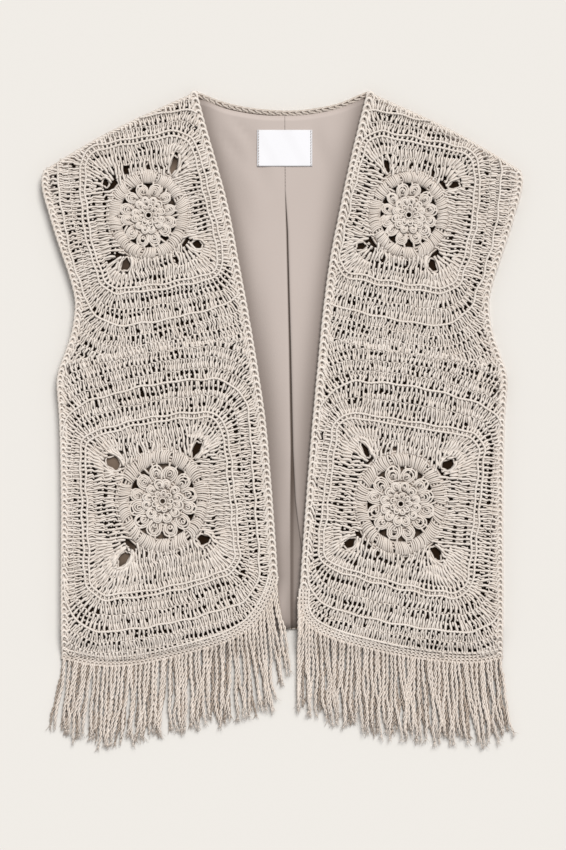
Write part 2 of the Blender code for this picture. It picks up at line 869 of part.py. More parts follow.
def line_at(rows, part):
    """The point at some part, 0 to 1, of the way in x along a table of points."""
    x = rows[0][0] + (rows[-1][0] - rows[0][0]) * part
    return x, at_x(rows, x)


def strip_station(rooted, x, hem):
    """Four points of the root strip where the hem crosses x: top and bottom, outer and inner."""
    y = at_x(rooted, x)
    nearest = min(range(len(hem)), key=lambda i: math.dist(hem[i], (x, y)))
    tx, ty = tangents(hem)[nearest]
    nx, ny = (-ty, tx) if tx < 0.0 else (ty, -tx)
    near = SEAM_GAP
    far = SEAM_GAP + STRIP_WIDTH
    base = hem_underside(y) + STRIP_LIFT
    inner = (x + nx * near, y + ny * near)
    outer = (x + nx * far, y + ny * far)
    return [
        (*inner, base + STRAND_THICK),
        (*outer, base + STRAND_THICK),
        (*outer, base),
        (*inner, base),
    ]


def grow_strand(points, faces, root, tip, index):
    """Rings of a strand from its patch on the strip down to its tip, lying on the surface."""
    start_y = min(points[i][1] for i in root)
    start_x = sum(points[i][0] for i in root) / 4.0
    last = root
    left_first = points[root[0]][0] < points[root[3]][0]
    for k in range(1, STRAND_SEGMENTS + 1):
        t = k / STRAND_SEGMENTS
        y = start_y + (tip[1] - start_y) * (FIRST_DROP + (1.0 - FIRST_DROP) * t)
        wave = WAVE_SIZE * math.sin(WAVE_BY_STRAND * index + WAVE_BY_LENGTH * t) * t
        x = start_x + (tip[0] - start_x) * t ** SPLAY_POWER + wave
        taper = 1.0 + (STRAND_TAPER - 1.0) * t
        width = STRAND_WIDTH * taper
        thick = STRAND_THICK * taper
        low = hem_underside(y) + STRIP_LIFT * (1.0 - t)
        half = width / 2.0 if left_first else -width / 2.0
        ring = [
            (x - half, y, low + thick),
            (x - half, y, low),
            (x + half, y, low),
            (x + half, y, low + thick),
        ]
        start = len(points)
        points.extend(ring)
        here = [start, start + 1, start + 2, start + 3]
        for m in range(4):
            after = (m + 1) % 4
            faces.append((last[m], last[after], here[after], here[m]))
        last = here
    faces.append(tuple(last))


def main():
    clear_scene()
    make_back()
    make_back_lining()
    make_label()
    make_front(-1, "right")
    make_front(1, "left")
    make_neck_border()
    make_fringe(-1, "right", TIP_RIGHT_TABLE)
    make_fringe(1, "left", TIP_LEFT_TABLE)


main()
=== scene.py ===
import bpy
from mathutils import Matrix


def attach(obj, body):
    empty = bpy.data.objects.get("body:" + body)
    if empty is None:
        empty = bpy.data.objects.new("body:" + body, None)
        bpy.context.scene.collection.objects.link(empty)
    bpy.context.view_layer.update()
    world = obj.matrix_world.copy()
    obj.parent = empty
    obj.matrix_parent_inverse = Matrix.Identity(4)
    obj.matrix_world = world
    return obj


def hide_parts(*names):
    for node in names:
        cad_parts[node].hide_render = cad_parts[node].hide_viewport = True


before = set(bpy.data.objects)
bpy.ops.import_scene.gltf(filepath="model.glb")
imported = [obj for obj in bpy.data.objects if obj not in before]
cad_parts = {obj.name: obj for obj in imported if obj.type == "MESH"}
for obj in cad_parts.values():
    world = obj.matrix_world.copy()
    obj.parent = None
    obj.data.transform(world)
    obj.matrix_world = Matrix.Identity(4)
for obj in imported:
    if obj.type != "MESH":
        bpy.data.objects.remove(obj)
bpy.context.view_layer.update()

import math
import bpy
import numpy as np

mm = 0.001
tau = 2 * math.pi
rng = np.random.default_rng(7)
scene = bpy.context.scene

# heights of the laid stack, in mm, as the solids have them
stack = {
    "frontUnder": 7.2,      # underside of the fronts
    "liningUnder": 5.9,     # underside of the front linings
    "liningTop": 5.6,       # upper side of the back lining
    "sagStart": -233.0,     # the fronts sag past the back's hem from here
    "sagEnd": -263.0,       # and lie on the surface from here
    "hemUnder": 0.4,
    "laceUnder": 2.2,
}


# smoothstep s*s*(3-2s) from one height to the other, along y
def sagging(y, stacked, sagged):
    s = np.clip((stack["sagStart"] - y) / (stack["sagStart"] - stack["sagEnd"]), 0, 1)
    return stacked + (sagged - stacked) * s * s * (3 - 2 * s)


def laceFloor(y):   # underside of the lace
    return sagging(y, stack["frontUnder"], stack["laceUnder"])


def hemFloor(y):    # underside of the edgings and the braid
    return sagging(y, stack["frontUnder"], stack["hemUnder"])


# small tools for arrays of points
def together(*parts):   # coordinates given one by one, as one array of points
    return np.stack(np.broadcast_arrays(*parts), axis=-1)


def raised(xy, z):      # flat points and their heights
    return together(xy[..., 0], xy[..., 1], z)


def turned(along, across, angle):   # x and y of points turned by an angle
    c, s = math.cos(angle), math.sin(angle)
    return along * c - across * s, along * s + across * c


def crossOf(a, b):      # ax by - ay bx
    return a[..., 0] * b[..., 1] - a[..., 1] * b[..., 0]


def leftOf(way):        # a way turned a quarter to its left
    return together(-way[..., 1], way[..., 0])


def lengthsOf(line):    # how far along a line each of its points lies
    return np.concatenate([[0], np.cumsum(np.linalg.norm(np.diff(line, axis=0), axis=1))])


def rowsAt(where, places, rows):    # the rows of a table, read between its places
    return np.stack([np.interp(where, places, column) for column in rows.T], axis=-1)


def stepsOf(low, high, pitch):      # the middles of equal steps of about a pitch
    count = max(1, int(round((high - low) / pitch)))
    return low + (np.arange(count) + 0.5) / count * (high - low)


def anyPhase():
    return rng.uniform(0, 6.28)


# meshes from arrays
# Vertices in mm, faces as lists of (count, 3) or (count, 4) arrays, one uv for each face corner.
# Vertices that no face uses are left out.
def meshPiece(name, node, verts, faces, material, values, uvs=None):
    faces = [np.asarray(f, dtype=np.int64) for f in faces if len(f)]
    corners = np.concatenate([f.ravel() for f in faces])
    totals = np.concatenate([np.full(len(f), f.shape[1]) for f in faces])
    starts = np.concatenate([[0], np.cumsum(totals)[:-1]])
    used, corners = np.unique(corners, return_inverse=True)
    verts = verts[used] * mm
    mesh = bpy.data.meshes.new(name)
    mesh.vertices.add(len(verts))
    mesh.vertices.foreach_set("co", verts.ravel())
    mesh.loops.add(len(corners))
    mesh.loops.foreach_set("vertex_index", corners.ravel().astype(np.int32))
    mesh.polygons.add(len(totals))
    mesh.polygons.foreach_set("loop_start", starts.astype(np.int32))
    mesh.polygons.foreach_set("use_smooth", np.full(len(totals), True))
    mesh.update(calc_edges=True)
    if uvs is not None:
        mesh.uv_layers.new(name="yarn").data.foreach_set("uv", np.concatenate(uvs).ravel())
    for title, value in values.items():
        layer = mesh.attributes.new(title, "FLOAT", "POINT")
        layer.data.foreach_set("value", value[used])
    mesh.materials.append(material)
    piece = bpy.data.objects.new(name, mesh)
    scene.collection.objects.link(piece)
    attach(piece, "root")
    if node:
        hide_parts(node)
    print("made", name, "with", int((totals - 2).sum()), "triangles")
    return piece


# Round yarn along paths of shape (tubes, samples, 3): each sample gets a ring
# P + r (cos a * side + sin a * up), with side = way x Z. keep says which runs between samples
# are made, and each stretch that is made is closed with a cap at both ends.
# Its painted shade, kept as an attribute of painted light, is (0.5 + 0.5 ring z) times a level
# set for the store times (1 - a share by height * (1 - height / 4.5 mm)): dark under a strand and
# near the floor.
class YarnStore:
    def __init__(self, byHeight=0.4):
        self.byHeight, self.level = byHeight, 1.0
        self.verts, self.tones, self.total = [], [], 0
        self.parts = {}     # faces and their uvs, the walls first and then caps by their sides

    def take(self, kind, faces, uvs):
        kept = self.parts.setdefault(kind, ([], []))
        kept[0].append(faces)
        kept[1].append(uvs)

    def add(self, paths, radius, sides=4, keep=None):
        paths = paths[None] if paths.ndim == 2 else paths
        count, samples, _ = paths.shape
        if count == 0:
            return
        if keep is None:
            keep = np.ones((count, samples - 1), dtype=bool)
        way = np.gradient(paths, axis=1)
        way /= np.linalg.norm(way, axis=2, keepdims=True) + 1e-12
        side = together(way[..., 1], -way[..., 0], 0.0)
        size = np.linalg.norm(side, axis=2, keepdims=True)
        side = np.where(size > 1e-3, side / np.maximum(size, 1e-3), np.array([1.0, 0.0, 0.0]))
        up = np.cross(side, way)
        angle = tau * np.arange(sides) / sides + math.pi / 2
        ring = side[:, :, None] * np.cos(angle)[:, None] + up[:, :, None] * np.sin(angle)[:, None]
        radius = np.broadcast_to(radius, (count, samples))
        self.verts.append((paths[:, :, None] + ring * radius[:, :, None, None]).reshape(-1, 3))
        self.tones.append((0.5 + 0.5 * ring[..., 2]).ravel() * self.level)
        index = self.total + np.arange(count * samples * sides).reshape(count, samples, sides)
        self.total += index.size
        after = np.roll(index, -1, axis=2)
        walls = together(index[:, :-1], index[:, 1:], after[:, 1:], after[:, :-1])
        run = np.linalg.norm(np.diff(paths, axis=1), axis=2)
        length = np.hstack([np.zeros((count, 1)), np.cumsum(run, axis=1)])
        along = (length + rng.uniform(0, 40, (count, 1)))[:, :, None]
        around = np.arange(sides) / sides
        uv = np.stack([together(along[:, :-1], around), together(along[:, 1:], around),
                       together(along[:, 1:], around + 1 / sides),
                       together(along[:, :-1], around + 1 / sides)], axis=3)
        self.take("walls", walls[keep].reshape(-1, 4), uv[keep].reshape(-1, 2))
        none = np.zeros((count, 1), dtype=bool)
        before, behind = np.hstack([none, keep]), np.hstack([keep, none])
        for caps in (index[behind & ~before], index[before & ~behind][:, ::-1]):
            self.take(sides, caps, np.zeros((caps.size, 2)))

    def finish(self, name, node, material, slot):
        faces, uvs = zip(*self.parts.values())
        verts = np.concatenate(self.verts)
        # painted shade: yarn is darker the lower it lies over the lace's underside
        over = np.clip((verts[:, 2] - laceFloor(verts[:, 1])) / 4.5, 0, 1)
        tone = np.concatenate(self.tones) * (1 - self.byHeight * (1 - over))
        return meshPiece(name, node, verts, [np.concatenate(f) for f in faces], material,
                         {"tone": tone}, [np.concatenate(uv) for uv in uvs])


# curves
def evenly(line, step):     # the same line with its points an even distance apart along it
    length = lengthsOf(line)
    count = max(2, int(round(length[-1] / step)) + 1)
    return rowsAt(np.linspace(0, length[-1], count), length, line)


# Catmull-Rom line through the rows of a table, sampled evenly about every step mm
def curveThrough(table, step):
    points = np.asarray(table, dtype=float)
    padded = np.vstack([points[:1], points, points[-1:]])
    t = np.linspace(0, 1, 24, endpoint=False)[:, None]
    runs = [0.5 * (2 * b + (c - a) * t + (2 * a - 5 * b + 4 * c - d) * t ** 2
                   + (3 * b - a - 3 * c + d) * t ** 3)
            for a, b, c, d in zip(padded, padded[1:], padded[2:], padded[3:])]
    return evenly(np.vstack(runs + [points[-1:]]), step)


def waysOf(line):       # unit ways along a line
    way = np.gradient(line, axis=0)
    return way / (np.linalg.norm(way, axis=1, keepdims=True) + 1e-12)


def toLeft(line, distance):     # the line moved to its left
    return line + leftOf(waysOf(line)) * distance


# even-odd test of many points against one closed outline
def insideOf(points, outline):
    x, y = points[..., 0], points[..., 1]
    found = np.zeros(x.shape, dtype=bool)
    for a, b in zip(outline, np.roll(outline, -1, axis=0)):
        if a[1] != b[1]:
            left = x < a[0] + (y - a[1]) * (b[0] - a[0]) / (b[1] - a[1])
            found ^= ((a[1] > y) != (b[1] > y)) & left
    return found


# the vest's lines, the same tables as the solids are worked out from
lines = {
    "side": (  # half width, y
        (242.6, -262.0), (243.0, -180.0), (242.8, -90.0), (244.3, -10.0), (246.3, 22.0),
        (247.4, 39.6), (245.6, 54.0), (238.4, 74.0), (231.4, 95.0), (228.2, 114.0), (227.6, 132.0),
        (232.6, 154.0), (241.4, 180.0), (250.4, 207.0), (256.6, 228.0), (262.0, 246.0),
        (264.3, 263.0), (261.8, 273.0)),
    "shoulder": ((261.8, 273.0), (190.0, 315.5), (93.0, 360.4)),
    "neck": (
        (-84.0, 356.3), (-68.0, 350.0), (-46.0, 344.3), (-24.0, 341.0), (0.0, 339.4), (20.0, 339.9),
        (42.0, 342.7), (64.0, 347.8), (84.0, 356.3)),
    "edgeRight": (
        (-93.0, 360.4), (-82.0, 319.0), (-69.3, 275.0), (-57.8, 231.0), (-47.3, 176.0),
        (-36.9, 121.0), (-27.5, 66.0), (-17.6, 0.0), (-11.6, -66.0), (-6.6, -132.0), (-4.0, -172.0)),
    "hemRight": (
        (-4.0, -172.0), (-7.6, -186.0), (-16.5, -206.0), (-28.6, -223.0), (-43.0, -234.3),
        (-66.0, -245.3), (-102.0, -256.0), (-129.0, -263.0), (-156.0, -268.5), (-184.0, -271.0),
        (-212.0, -269.0), (-242.6, -262.0)),
    "edgeLeft": (
        (93.0, 360.4), (82.5, 319.0), (72.0, 275.0), (62.8, 231.0), (52.0, 176.0), (44.6, 121.0),
        (39.1, 66.0), (33.0, 0.0), (27.5, -66.0), (22.6, -132.0), (19.0, -185.0)),
    "hemLeft": (
        (19.0, -185.0), (18.4, -203.0), (22.6, -217.5), (34.5, -230.0), (59.5, -241.5),
        (93.5, -251.0), (126.5, -258.5), (160.5, -264.0), (194.0, -267.0), (218.0, -266.5),
        (242.6, -262.0)),
    "middle": {"right": ((-262.0, 60.0), (-20.0, 93.0)), "left": ((20.0, 93.0), (262.0, 57.0))},
}
sides = {"right": -1, "left": 1}   # the wearer's, so the right front lies at -X


# one of the vest's lines for one side, from its table
def lineOf(kind, name, step=3.0):
    if kind in lines:
        return curveThrough([(sides[name] * half, y) for half, y in lines[kind]], step)
    return curveThrough(lines[kind + name.capitalize()], step)


# closed outline of a front, moved in from its free edge, side and shoulder
def frontOutline(name, free, side, shoulder):
    edge = np.vstack([lineOf("edge", name), lineOf("hem", name)[1:]])
    return np.vstack([toLeft(line, sides[name] * inset) for line, inset in (
        (edge, free), (lineOf("side", name), side), (lineOf("shoulder", name), shoulder))])


# finishes
# A material's nodes. make adds one from its settings and inputs, where an input given as a
# socket is linked and a tuple is a colour, and returns the output that is named.
class Nodes:
    def __init__(self, name):
        self.material = bpy.data.materials.new(name)
        self.material.use_nodes = True
        self.tree = self.material.node_tree

    def fill(self, node, values):
        for key, value in values.items():
            if isinstance(key, str) and key not in node.inputs:
                setattr(node, key, value)
            elif isinstance(value, bpy.types.NodeSocket):
                self.tree.links.new(value, node.inputs[key])
            else:
                node.inputs[key].default_value = (*value, 1) if type(value) is tuple else value
        return self.material

    def make(self, kind, output, values={}):
        node = self.tree.nodes.new("ShaderNode" + kind)
        self.fill(node, values)
        return node.outputs[output]

    def where(self):
        return self.make("TexCoord", "Object")

    def mix(self, low, high, factor):
        return self.make("Mix", "Result", {"data_type": "RGBA", "A": low, "B": high,
                                           "Factor": factor})

    def calc(self, operation, *terms):
        return self.make("Math", "Value", {"operation": operation, **dict(enumerate(terms))})

    def bump(self, height, strength, distance, under={}):
        return self.make("Bump", "Normal", {"Strength": strength, "Distance": distance,
                                            "Height": height, **under})

    def rise(self, value, low, high, curve="SMOOTHSTEP"):
        return self.make("MapRange", "Result", {"interpolation_type": curve, "Value": value,
                                                "From Min": low, "From Max": high})

    def finish(self, colour, roughness, specular, more={}):
        return self.fill(self.tree.nodes["Principled BSDF"], {
            "Base Color": colour, "Roughness": roughness, "Specular IOR Level": specular, **more})


def times(colour, tone):
    return tuple(part * tone for part in colour)


# deep is painted shade, the colour of the shadow between and under strands
yarnLook = {
    "light": (0.822, 0.757, 0.700), "dark": (0.765, 0.692, 0.627), "deep": (0.230, 0.150, 0.094),
    "roughness": 0.88, "specular": 0.2, "sheen": 0.25, "sheenRoughness": 0.6, "blotch": 55.0,
    "plyPitch": 2.6, "plyBump": 0.35, "fibre": 1600.0, "fuzzBump": 0.25,
}


# Cotton yarn: two colours by a soft noise, and fine plies that run round the strand
# along u/pitch + v, raised as a bump under finer fibre noise. Painted shade: the piece's own
# attribute of painted light, 1 on top of a strand and 0 below it, turns the colour to the deep
# shade colour between and under strands.
def yarnMaterial(name, look, tone=1.0):
    nodes = Nodes(name)
    where = nodes.where()
    blotch = nodes.make("TexNoise", "Fac", {"Vector": where, "Scale": look["blotch"],
                                            "Detail": 4.0, "Roughness": 0.6})
    yarnTone = nodes.mix(times(look["dark"], tone), times(look["light"], tone),
                         nodes.rise(blotch, 0.3, 0.62, "LINEAR"))
    uv = nodes.make("UVMap", "UV", {"uv_map": "yarn"})
    split = nodes.tree.nodes.new("ShaderNodeSeparateXYZ")
    nodes.fill(split, {"Vector": uv})
    turns = nodes.calc("MULTIPLY", split.outputs["X"], 1 / look["plyPitch"])
    turns = nodes.calc("ADD", turns, split.outputs["Y"])
    plies = nodes.bump(nodes.calc("PINGPONG", turns, 0.25), look["plyBump"], 0.0006)
    fibre = nodes.make("TexNoise", "Fac", {"Vector": where, "Scale": look["fibre"],
                                           "Detail": 3.0})
    fuzz = nodes.bump(fibre, look["fuzzBump"], 0.0003, {"Normal": plies})
    height = nodes.make("Attribute", "Fac", {"attribute_name": "tone"})
    # painted shade: the deep colour where the painted light attribute is low
    colour = nodes.mix(times(look["deep"], tone), yarnTone, nodes.rise(height, 0.12, 0.85))
    return nodes.finish(colour, look["roughness"], look["specular"], {
        "Normal": fuzz, "Sheen Weight": look["sheen"], "Sheen Roughness": look["sheenRoughness"]})


liningLook = {
    "light": (0.562, 0.486, 0.450), "dark": (0.522, 0.448, 0.412), "shade": (0.078, 0.052, 0.038),
    "roughness": 0.55, "specular": 0.3, "sheen": 0.3, "broad": 9.0, "thread": 600.0,
    "threadBump": 0.08,
}


# Woven lining: fine crossed threads on Object coordinates, and a soft broad change of tone. The
# piece's own attribute shade is 1 in the open and lower in its creases and in shadow.
def liningMaterial(name, look):
    nodes = Nodes(name)
    where = nodes.where()
    broad = nodes.make("TexNoise", "Fac", {"Vector": where, "Scale": look["broad"],
                                           "Detail": 2.0})
    cloth = nodes.mix(look["dark"], look["light"], broad)
    threads = [nodes.make("TexWave", "Fac", {
        "wave_type": "BANDS", "bands_direction": direction, "Vector": where,
        "Scale": look["thread"], "Distortion": 0.6, "Detail": 1.0}) for direction in "XY"]
    bump = nodes.bump(nodes.calc("ADD", *threads), look["threadBump"], 0.0002)
    shade = nodes.make("Attribute", "Fac", {"attribute_name": "shade"})
    return nodes.finish(nodes.mix(look["shade"], cloth, shade), look["roughness"],
                        look["specular"], {"Normal": bump, "Sheen Weight": look["sheen"]})


yarn = yarnMaterial("cottonYarn", yarnLook)
# a copy of the yarn painted 4% lighter, as painted light on the raised edgings, braid and neck
yarnPaintedLit = yarnMaterial("cottonYarnRaisedPaintedLit", yarnLook, 1.04)
# the fringe's yarn in two copies: painted light on the front strands, painted shade on those behind
fringeYarnPaintedLit = yarnMaterial("fringeYarnPaintedLit", {
    **yarnLook, "light": (0.870, 0.785, 0.715), "dark": (0.790, 0.700, 0.622)})
fringeBehindPaintedShade = yarnMaterial("fringeYarnBehindPaintedShade", {
    **yarnLook, "light": (0.700, 0.605, 0.525), "dark": (0.600, 0.505, 0.428)})
satin = liningMaterial("liningCloth", liningLook)
# the lining cloth painted dark and browner: painted shade under the lace
satinPaintedShade = liningMaterial("liningUnderLacePaintedShade", {
    **liningLook, "shade": (0.018, 0.009, 0.004), "light": (0.520, 0.400, 0.315),
    "dark": (0.450, 0.340, 0.262), "specular": 0.04, "sheen": 0.0})
labelCloth = liningMaterial("labelCloth", {
    **liningLook, "light": (0.90, 0.90, 0.94), "dark": (0.87, 0.87, 0.91),
    "shade": (0.36, 0.33, 0.32), "threadBump": 0.1})
thread = yarnMaterial("sewingThread", {
    **yarnLook, "light": (0.50, 0.44, 0.41), "dark": (0.44, 0.38, 0.35), "deep": (0.2, 0.16, 0.14)})


# Worked cloth seen only at its edges and from below: raised stitches on Object coordinates,
# |sin(pi x / across)| * |sin(pi y / along)|, as a bump, with painted shade from the yarn's
# deep colour between the stitches to its light colour on them.
def stitchedMaterial(name, look, across, along):
    nodes = Nodes(name)
    split = nodes.tree.nodes.new("ShaderNodeSeparateXYZ")
    nodes.fill(split, {"Vector": nodes.where()})
    waves = []
    for axis, size in (("X", across), ("Y", along)):
        turns = nodes.calc("MULTIPLY", split.outputs[axis], math.pi / (size * mm))
        waves.append(nodes.calc("ABSOLUTE", nodes.calc("SINE", turns)))
    both = nodes.calc("MULTIPLY", *waves)
    colour = nodes.mix(look["deep"], look["light"], nodes.rise(both, 0.0, 0.5))
    return nodes.finish(colour, look["roughness"], look["specular"], {
        "Normal": nodes.bump(both, 0.8, 0.0012), "Sheen Weight": look["sheen"]})


stitched = stitchedMaterial("backStitches", yarnLook, 5.25, 6.7)

# the four flower squares, each with the ring round its flower as half widths in mm
upperFlower = {
    "ringIn": (32.0, 36.5), "ringOut": (45.0, 48.5),
    "petals": {"count": 12, "away": 23.0, "long": 17.6, "wide": 13.8, "second": 13.6}}
lowerFlower = {
    "ringIn": (37.5, 42.5), "ringOut": (50.5, 57.0),
    "petals": {"count": 12, "away": 27.2, "long": 21.0, "wide": 16.4, "second": 16.4}}
squares = {
    "upperRight": {
        "centre": (-146.3, 224.4), **upperFlower,
        "inner": ((-218.4, 293.2), (-102.3, 314.1), (-65.5, 161.7), (-194.7, 141.4)),
        "innerBows": (0.0, 1.0, 2.0, 5.5),
        "outer": ((-255.2, 310.2), (-77.0, 347.6), (-26.4, 133.1), (-207.9, 95.7)),
        "outerBows": (0.0, 3.0, 2.0, 4.5),
        "holes": (  # dx, dy, length, width, tilt in degrees
            (28, 55, 18.5, 7.7, 74), (-25, -54, 13.0, 8.8, 72), (53, -32, 9.8, 8.8, 0),
            (-47, 36, 8.8, 5.5, 90), (0, 53, 8.8, 4.6, 90), (-24, 50, 6.6, 4.6, -60),
            (3, -53, 7.7, 4.3, -80), (30, -49, 8.8, 5.0, -60), (-45, 29, 5.5, 4.6, 0)),
    },
    "lowerRight": {
        "centre": (-130.9, -89.1), **lowerFlower,
        "inner": ((-216.7, -19.8), (-67.1, 6.6), (-50.6, -163.9), (-210.1, -195.8)),
        "innerBows": (4.0, 1.0, 4.0, 0.0),
        "outer": ((-242.0, 15.4), (-39.6, 53.9), (-22.0, -198.0), (-237.6, -242.0)),
        "outerBows": (4.0, 0.0, 4.0, 1.0),
        "holes": (
            (-54, 42, 15.4, 12.0, -40), (-41, 33, 7.6, 5.2, 30), (37, 57, 17.0, 7.7, 65),
            (45, -42, 13.0, 10.0, 0), (-43, -63, 16.5, 10.0, 60), (-33, -49, 5.8, 5.2, 20),
            (-24, 56, 11.0, 4.6, -70), (3, 59, 7.7, 4.3, 85), (-9, -61, 8.8, 4.6, 85),
            (16, -56, 5.5, 4.6, 45)),
    },
    "upperLeft": {
        "centre": (139.0, 224.7), **upperFlower,
        "inner": ((94.6, 314.1), (213.4, 290.4), (190.9, 141.9), (58.9, 163.9)),
        "innerBows": (0.0, 5.5, 2.0, 1.0),
        "outer": ((69.7, 347.6), (248.6, 308.0), (203.5, 95.7), (19.1, 133.1)),
        "outerBows": (0.0, 6.0, 2.0, 3.0),
        "holes": (
            (-24, 54, 14.3, 5.6, -75), (50, 33, 11.0, 6.2, 25), (26, -55, 13.0, 7.7, -70),
            (-52, -34, 9.9, 7.2, 20), (3, 54, 7.7, 4.3, 80), (28, 47, 6.6, 4.3, -70),
            (-28, -47, 5.0, 5.0, 0), (-3, -53, 6.6, 4.3, 80)),
    },
    "lowerLeft": {
        "centre": (130.1, -92.1), **lowerFlower,
        "inner": ((62.2, 5.0), (217.8, -19.8), (202.4, -194.7), (42.9, -155.1)),
        "innerBows": (0.0, 0.0, 3.0, 0.0),
        "outer": ((44.0, 50.6), (244.2, 13.2), (244.2, -242.0), (24.2, -201.3)),
        "outerBows": (4.5, 0.0, 3.5, 1.0),
        "holes": (
            (-38, 59, 16.5, 6.6, -65), (52, 43, 13.0, 9.9, 30), (39, -54, 15.4, 8.8, -60),
            (-56, -43, 13.0, 8.8, 30), (-6, 60, 9.9, 4.3, 80), (25, 56, 7.7, 4.5, 50),
            (-26, -54, 5.5, 4.5, 0), (5, -58, 5.5, 4.3, 90), (-32, 50, 5.4, 5.0, 0)),
    },
}
lace = {
    "postPitch": 5.1,       # one post each so many mm along a round
    "cell": 5.9,            # from one gap between posts to the next
    "rowHeight": 11.8,      # a round of posts, two cells
    "strand": 1.48,         # radius of a post's broad strand
    "slant": 1.6,           # how far it leans to one side in a row
    "lift": 0.9,            # and rises in its middle
    "between": 1.3,         # radius of the lower strand between two posts
    "weave": 0.45,          # how far that one sways from post to post
    "sink": 0.45,           # how much lower it lies
    "open": (0.0, 0.45, 0.0, 0.0, 0.24, 0.0),   # how often it is missing at a row's samples
    "middleHeight": 2.6,    # of the posts' middle line over the lace's underside
    "perTurn": 3,           # samples in a cell
    "innerRadius": 20.0, "outerRadius": 44.0, "ridgeGap": 5.6, "outerRounds": 6,
    "fanStarts": (9.0, 25.0, 15.0, 25.0),   # how far from a corner's hole its posts start
    "loosen": 0.55,         # slow wander of the whole lace
    "gather": 0.75,         # how far posts lean together in pairs at their feet
    "crowd": 1.75,          # yarn is pushed aside out to so many times a hole's size
}
perSide, perCorner = 120, 60    # samples of a loop's side and of its corner


def sideWays(corners):      # unit ways along the sides of a closed shape
    ways = np.roll(corners, -1, axis=0) - corners
    return ways / np.linalg.norm(ways, axis=1)[:, None]


# each edge of a four-cornered outline moved out by a distance, and its corners met again
def widened(corners, distance):
    ways = sideWays(np.array(corners))
    moved = corners + leftOf(ways) * distance      # the corners run clockwise
    before, wayBefore = np.roll(moved, 1, axis=0), np.roll(ways, 1, axis=0)
    s = crossOf(moved - before, ways) / crossOf(wayBefore, ways)
    return before + wayBefore * s[:, None]


# rounded four-sided loop: its sides bowed out by the bows, its corners arcs of a radius
def roundedLoop(corners, radius, bows):
    corners = np.array(corners)
    ways = sideWays(corners)
    bends = np.arccos(np.clip((ways * np.roll(ways, 1, axis=0)).sum(axis=1), -1, 1))
    cut = radius * np.tan(bends / 2)
    points = []
    for k in range(4):
        u, out, after = ways[k], leftOf(ways[k]), (k + 1) % 4
        start, end = corners[k] + u * cut[k], corners[after] - u * cut[after]
        s = np.linspace(0, 1, perSide, endpoint=False)[:, None]
        a = np.linspace(0, bends[after], perCorner, endpoint=False)[:, None]
        points += [start + (end - start) * s + out * bows[k] * 4 * s * (1 - s),
                   end - out * radius + out * radius * np.cos(a) + u * radius * np.sin(a)]
    return np.vstack(points)


def closedLine(loop):
    return np.vstack([loop, loop[:1]])


def normalsOf(loop):        # outward unit normals of a clockwise closed loop
    way = np.roll(loop, -1, axis=0) - np.roll(loop, 1, axis=0)
    return leftOf(way / np.linalg.norm(way, axis=1, keepdims=True))


# how far each ray from base goes before it meets the closed loop
def reachOf(base, way, loop, most=200.0):
    run = np.roll(loop, -1, axis=0) - loop
    gap, way = loop - base[:, None], way[:, None]
    cross = crossOf(way, run)
    cross = np.where(np.abs(cross) < 1e-9, 1e-9, cross)
    far, along = crossOf(gap, run) / cross, crossOf(gap, way) / cross
    hit = (along >= -1e-6) & (along <= 1 + 1e-6) & (far > 1e-3)
    return np.where(hit, far, most).min(axis=1)


# places spread evenly over each side and each corner of a loop, as indices into it
def spreadRound(loop, pitch):
    length = lengthsOf(closedLine(loop))
    marks = length[np.cumsum([0] + [perSide, perCorner] * 4)]
    return np.concatenate([
        np.interp(stepsOf(low, high, pitch), length, np.arange(len(length)))
        for low, high in zip(marks, marks[1:])])


def takeAt(rows, index):    # rows of a closed loop at indices that aren't whole
    return rowsAt(index, np.arange(len(rows) + 1), closedLine(rows))


# Points pushed out of a hole: where rho is an oval distance from its middle (1 at its rim),
# rho below crowd becomes 1 + rho (crowd - 1) / crowd, so that the yarn crowds round the rim.
# Yarn at a hole's very middle is cut.
def openHoles(points, square):
    cut = np.zeros(points.shape[:-1], dtype=bool)
    for dx, dy, length, width, tilt in square["holes"]:
        hole = np.array(square["centre"]) + (dx, dy)
        tilt = math.radians(tilt)
        away = points - hole
        along, across = turned(away[..., 0], away[..., 1], -tilt)
        # the yarn itself is wide, so its middle line keeps off the rim
        a, b = length / 2 + 0.5 * lace["strand"], width / 2 + 0.5 * lace["strand"]
        rho = np.hypot(along / a, across / b) + 1e-9
        push = (1 + rho * (lace["crowd"] - 1) / lace["crowd"]) / rho
        pushed = hole + together(*turned(along * push, across * push, tilt))
        points = np.where((rho < lace["crowd"])[..., None], pushed, points)
        cut |= rho < 0.22
    return points, cut


# a low uneven strand round each larger hole, under the posts that end there
def addRims(store, square):
    a = np.linspace(0, tau, 17)
    for dx, dy, length, width, tilt in square["holes"]:
        if length < 7.0:
            continue
        grow = 1 + 0.12 * np.sin(3 * a + length) + 0.1 * np.sin(5 * a + 3 * width)
        x, y = turned((length / 2 + 1.3) * np.cos(a) * grow,
                      (width / 2 + 1.3) * np.sin(a) * grow, math.radians(tilt))
        x, y = x + square["centre"][0] + dx, y + square["centre"][1] + dy
        store.add(together(x, y, laceFloor(y) + 1.3 + 0.5 * np.sin(5 * a + width)), 1.25)


# slow uneven wander of hand work: a few crossed sines of 20 to 45 mm
def loosened(points):
    x, y = points[..., 0], points[..., 1]
    return points + lace["loosen"] * together(
        np.sin(x / 5.1 + y / 7.3) + np.sin(y / 4.3 - x / 9.7),
        np.sin(y / 5.7 - x / 6.1 + 1.3) + np.sin(x / 4.7 + y / 11.3))


# stretches of at least three runs, so that no stub is left beside a hole or an edge
def withoutStubs(keep):
    wide = np.pad(keep, ((0, 0), (2, 2)))
    by = [wide[:, k:k + keep.shape[1]] for k in range(5)]
    return keep & np.any([by[k] & by[k + 1] & by[k + 2] for k in range(3)], axis=0)


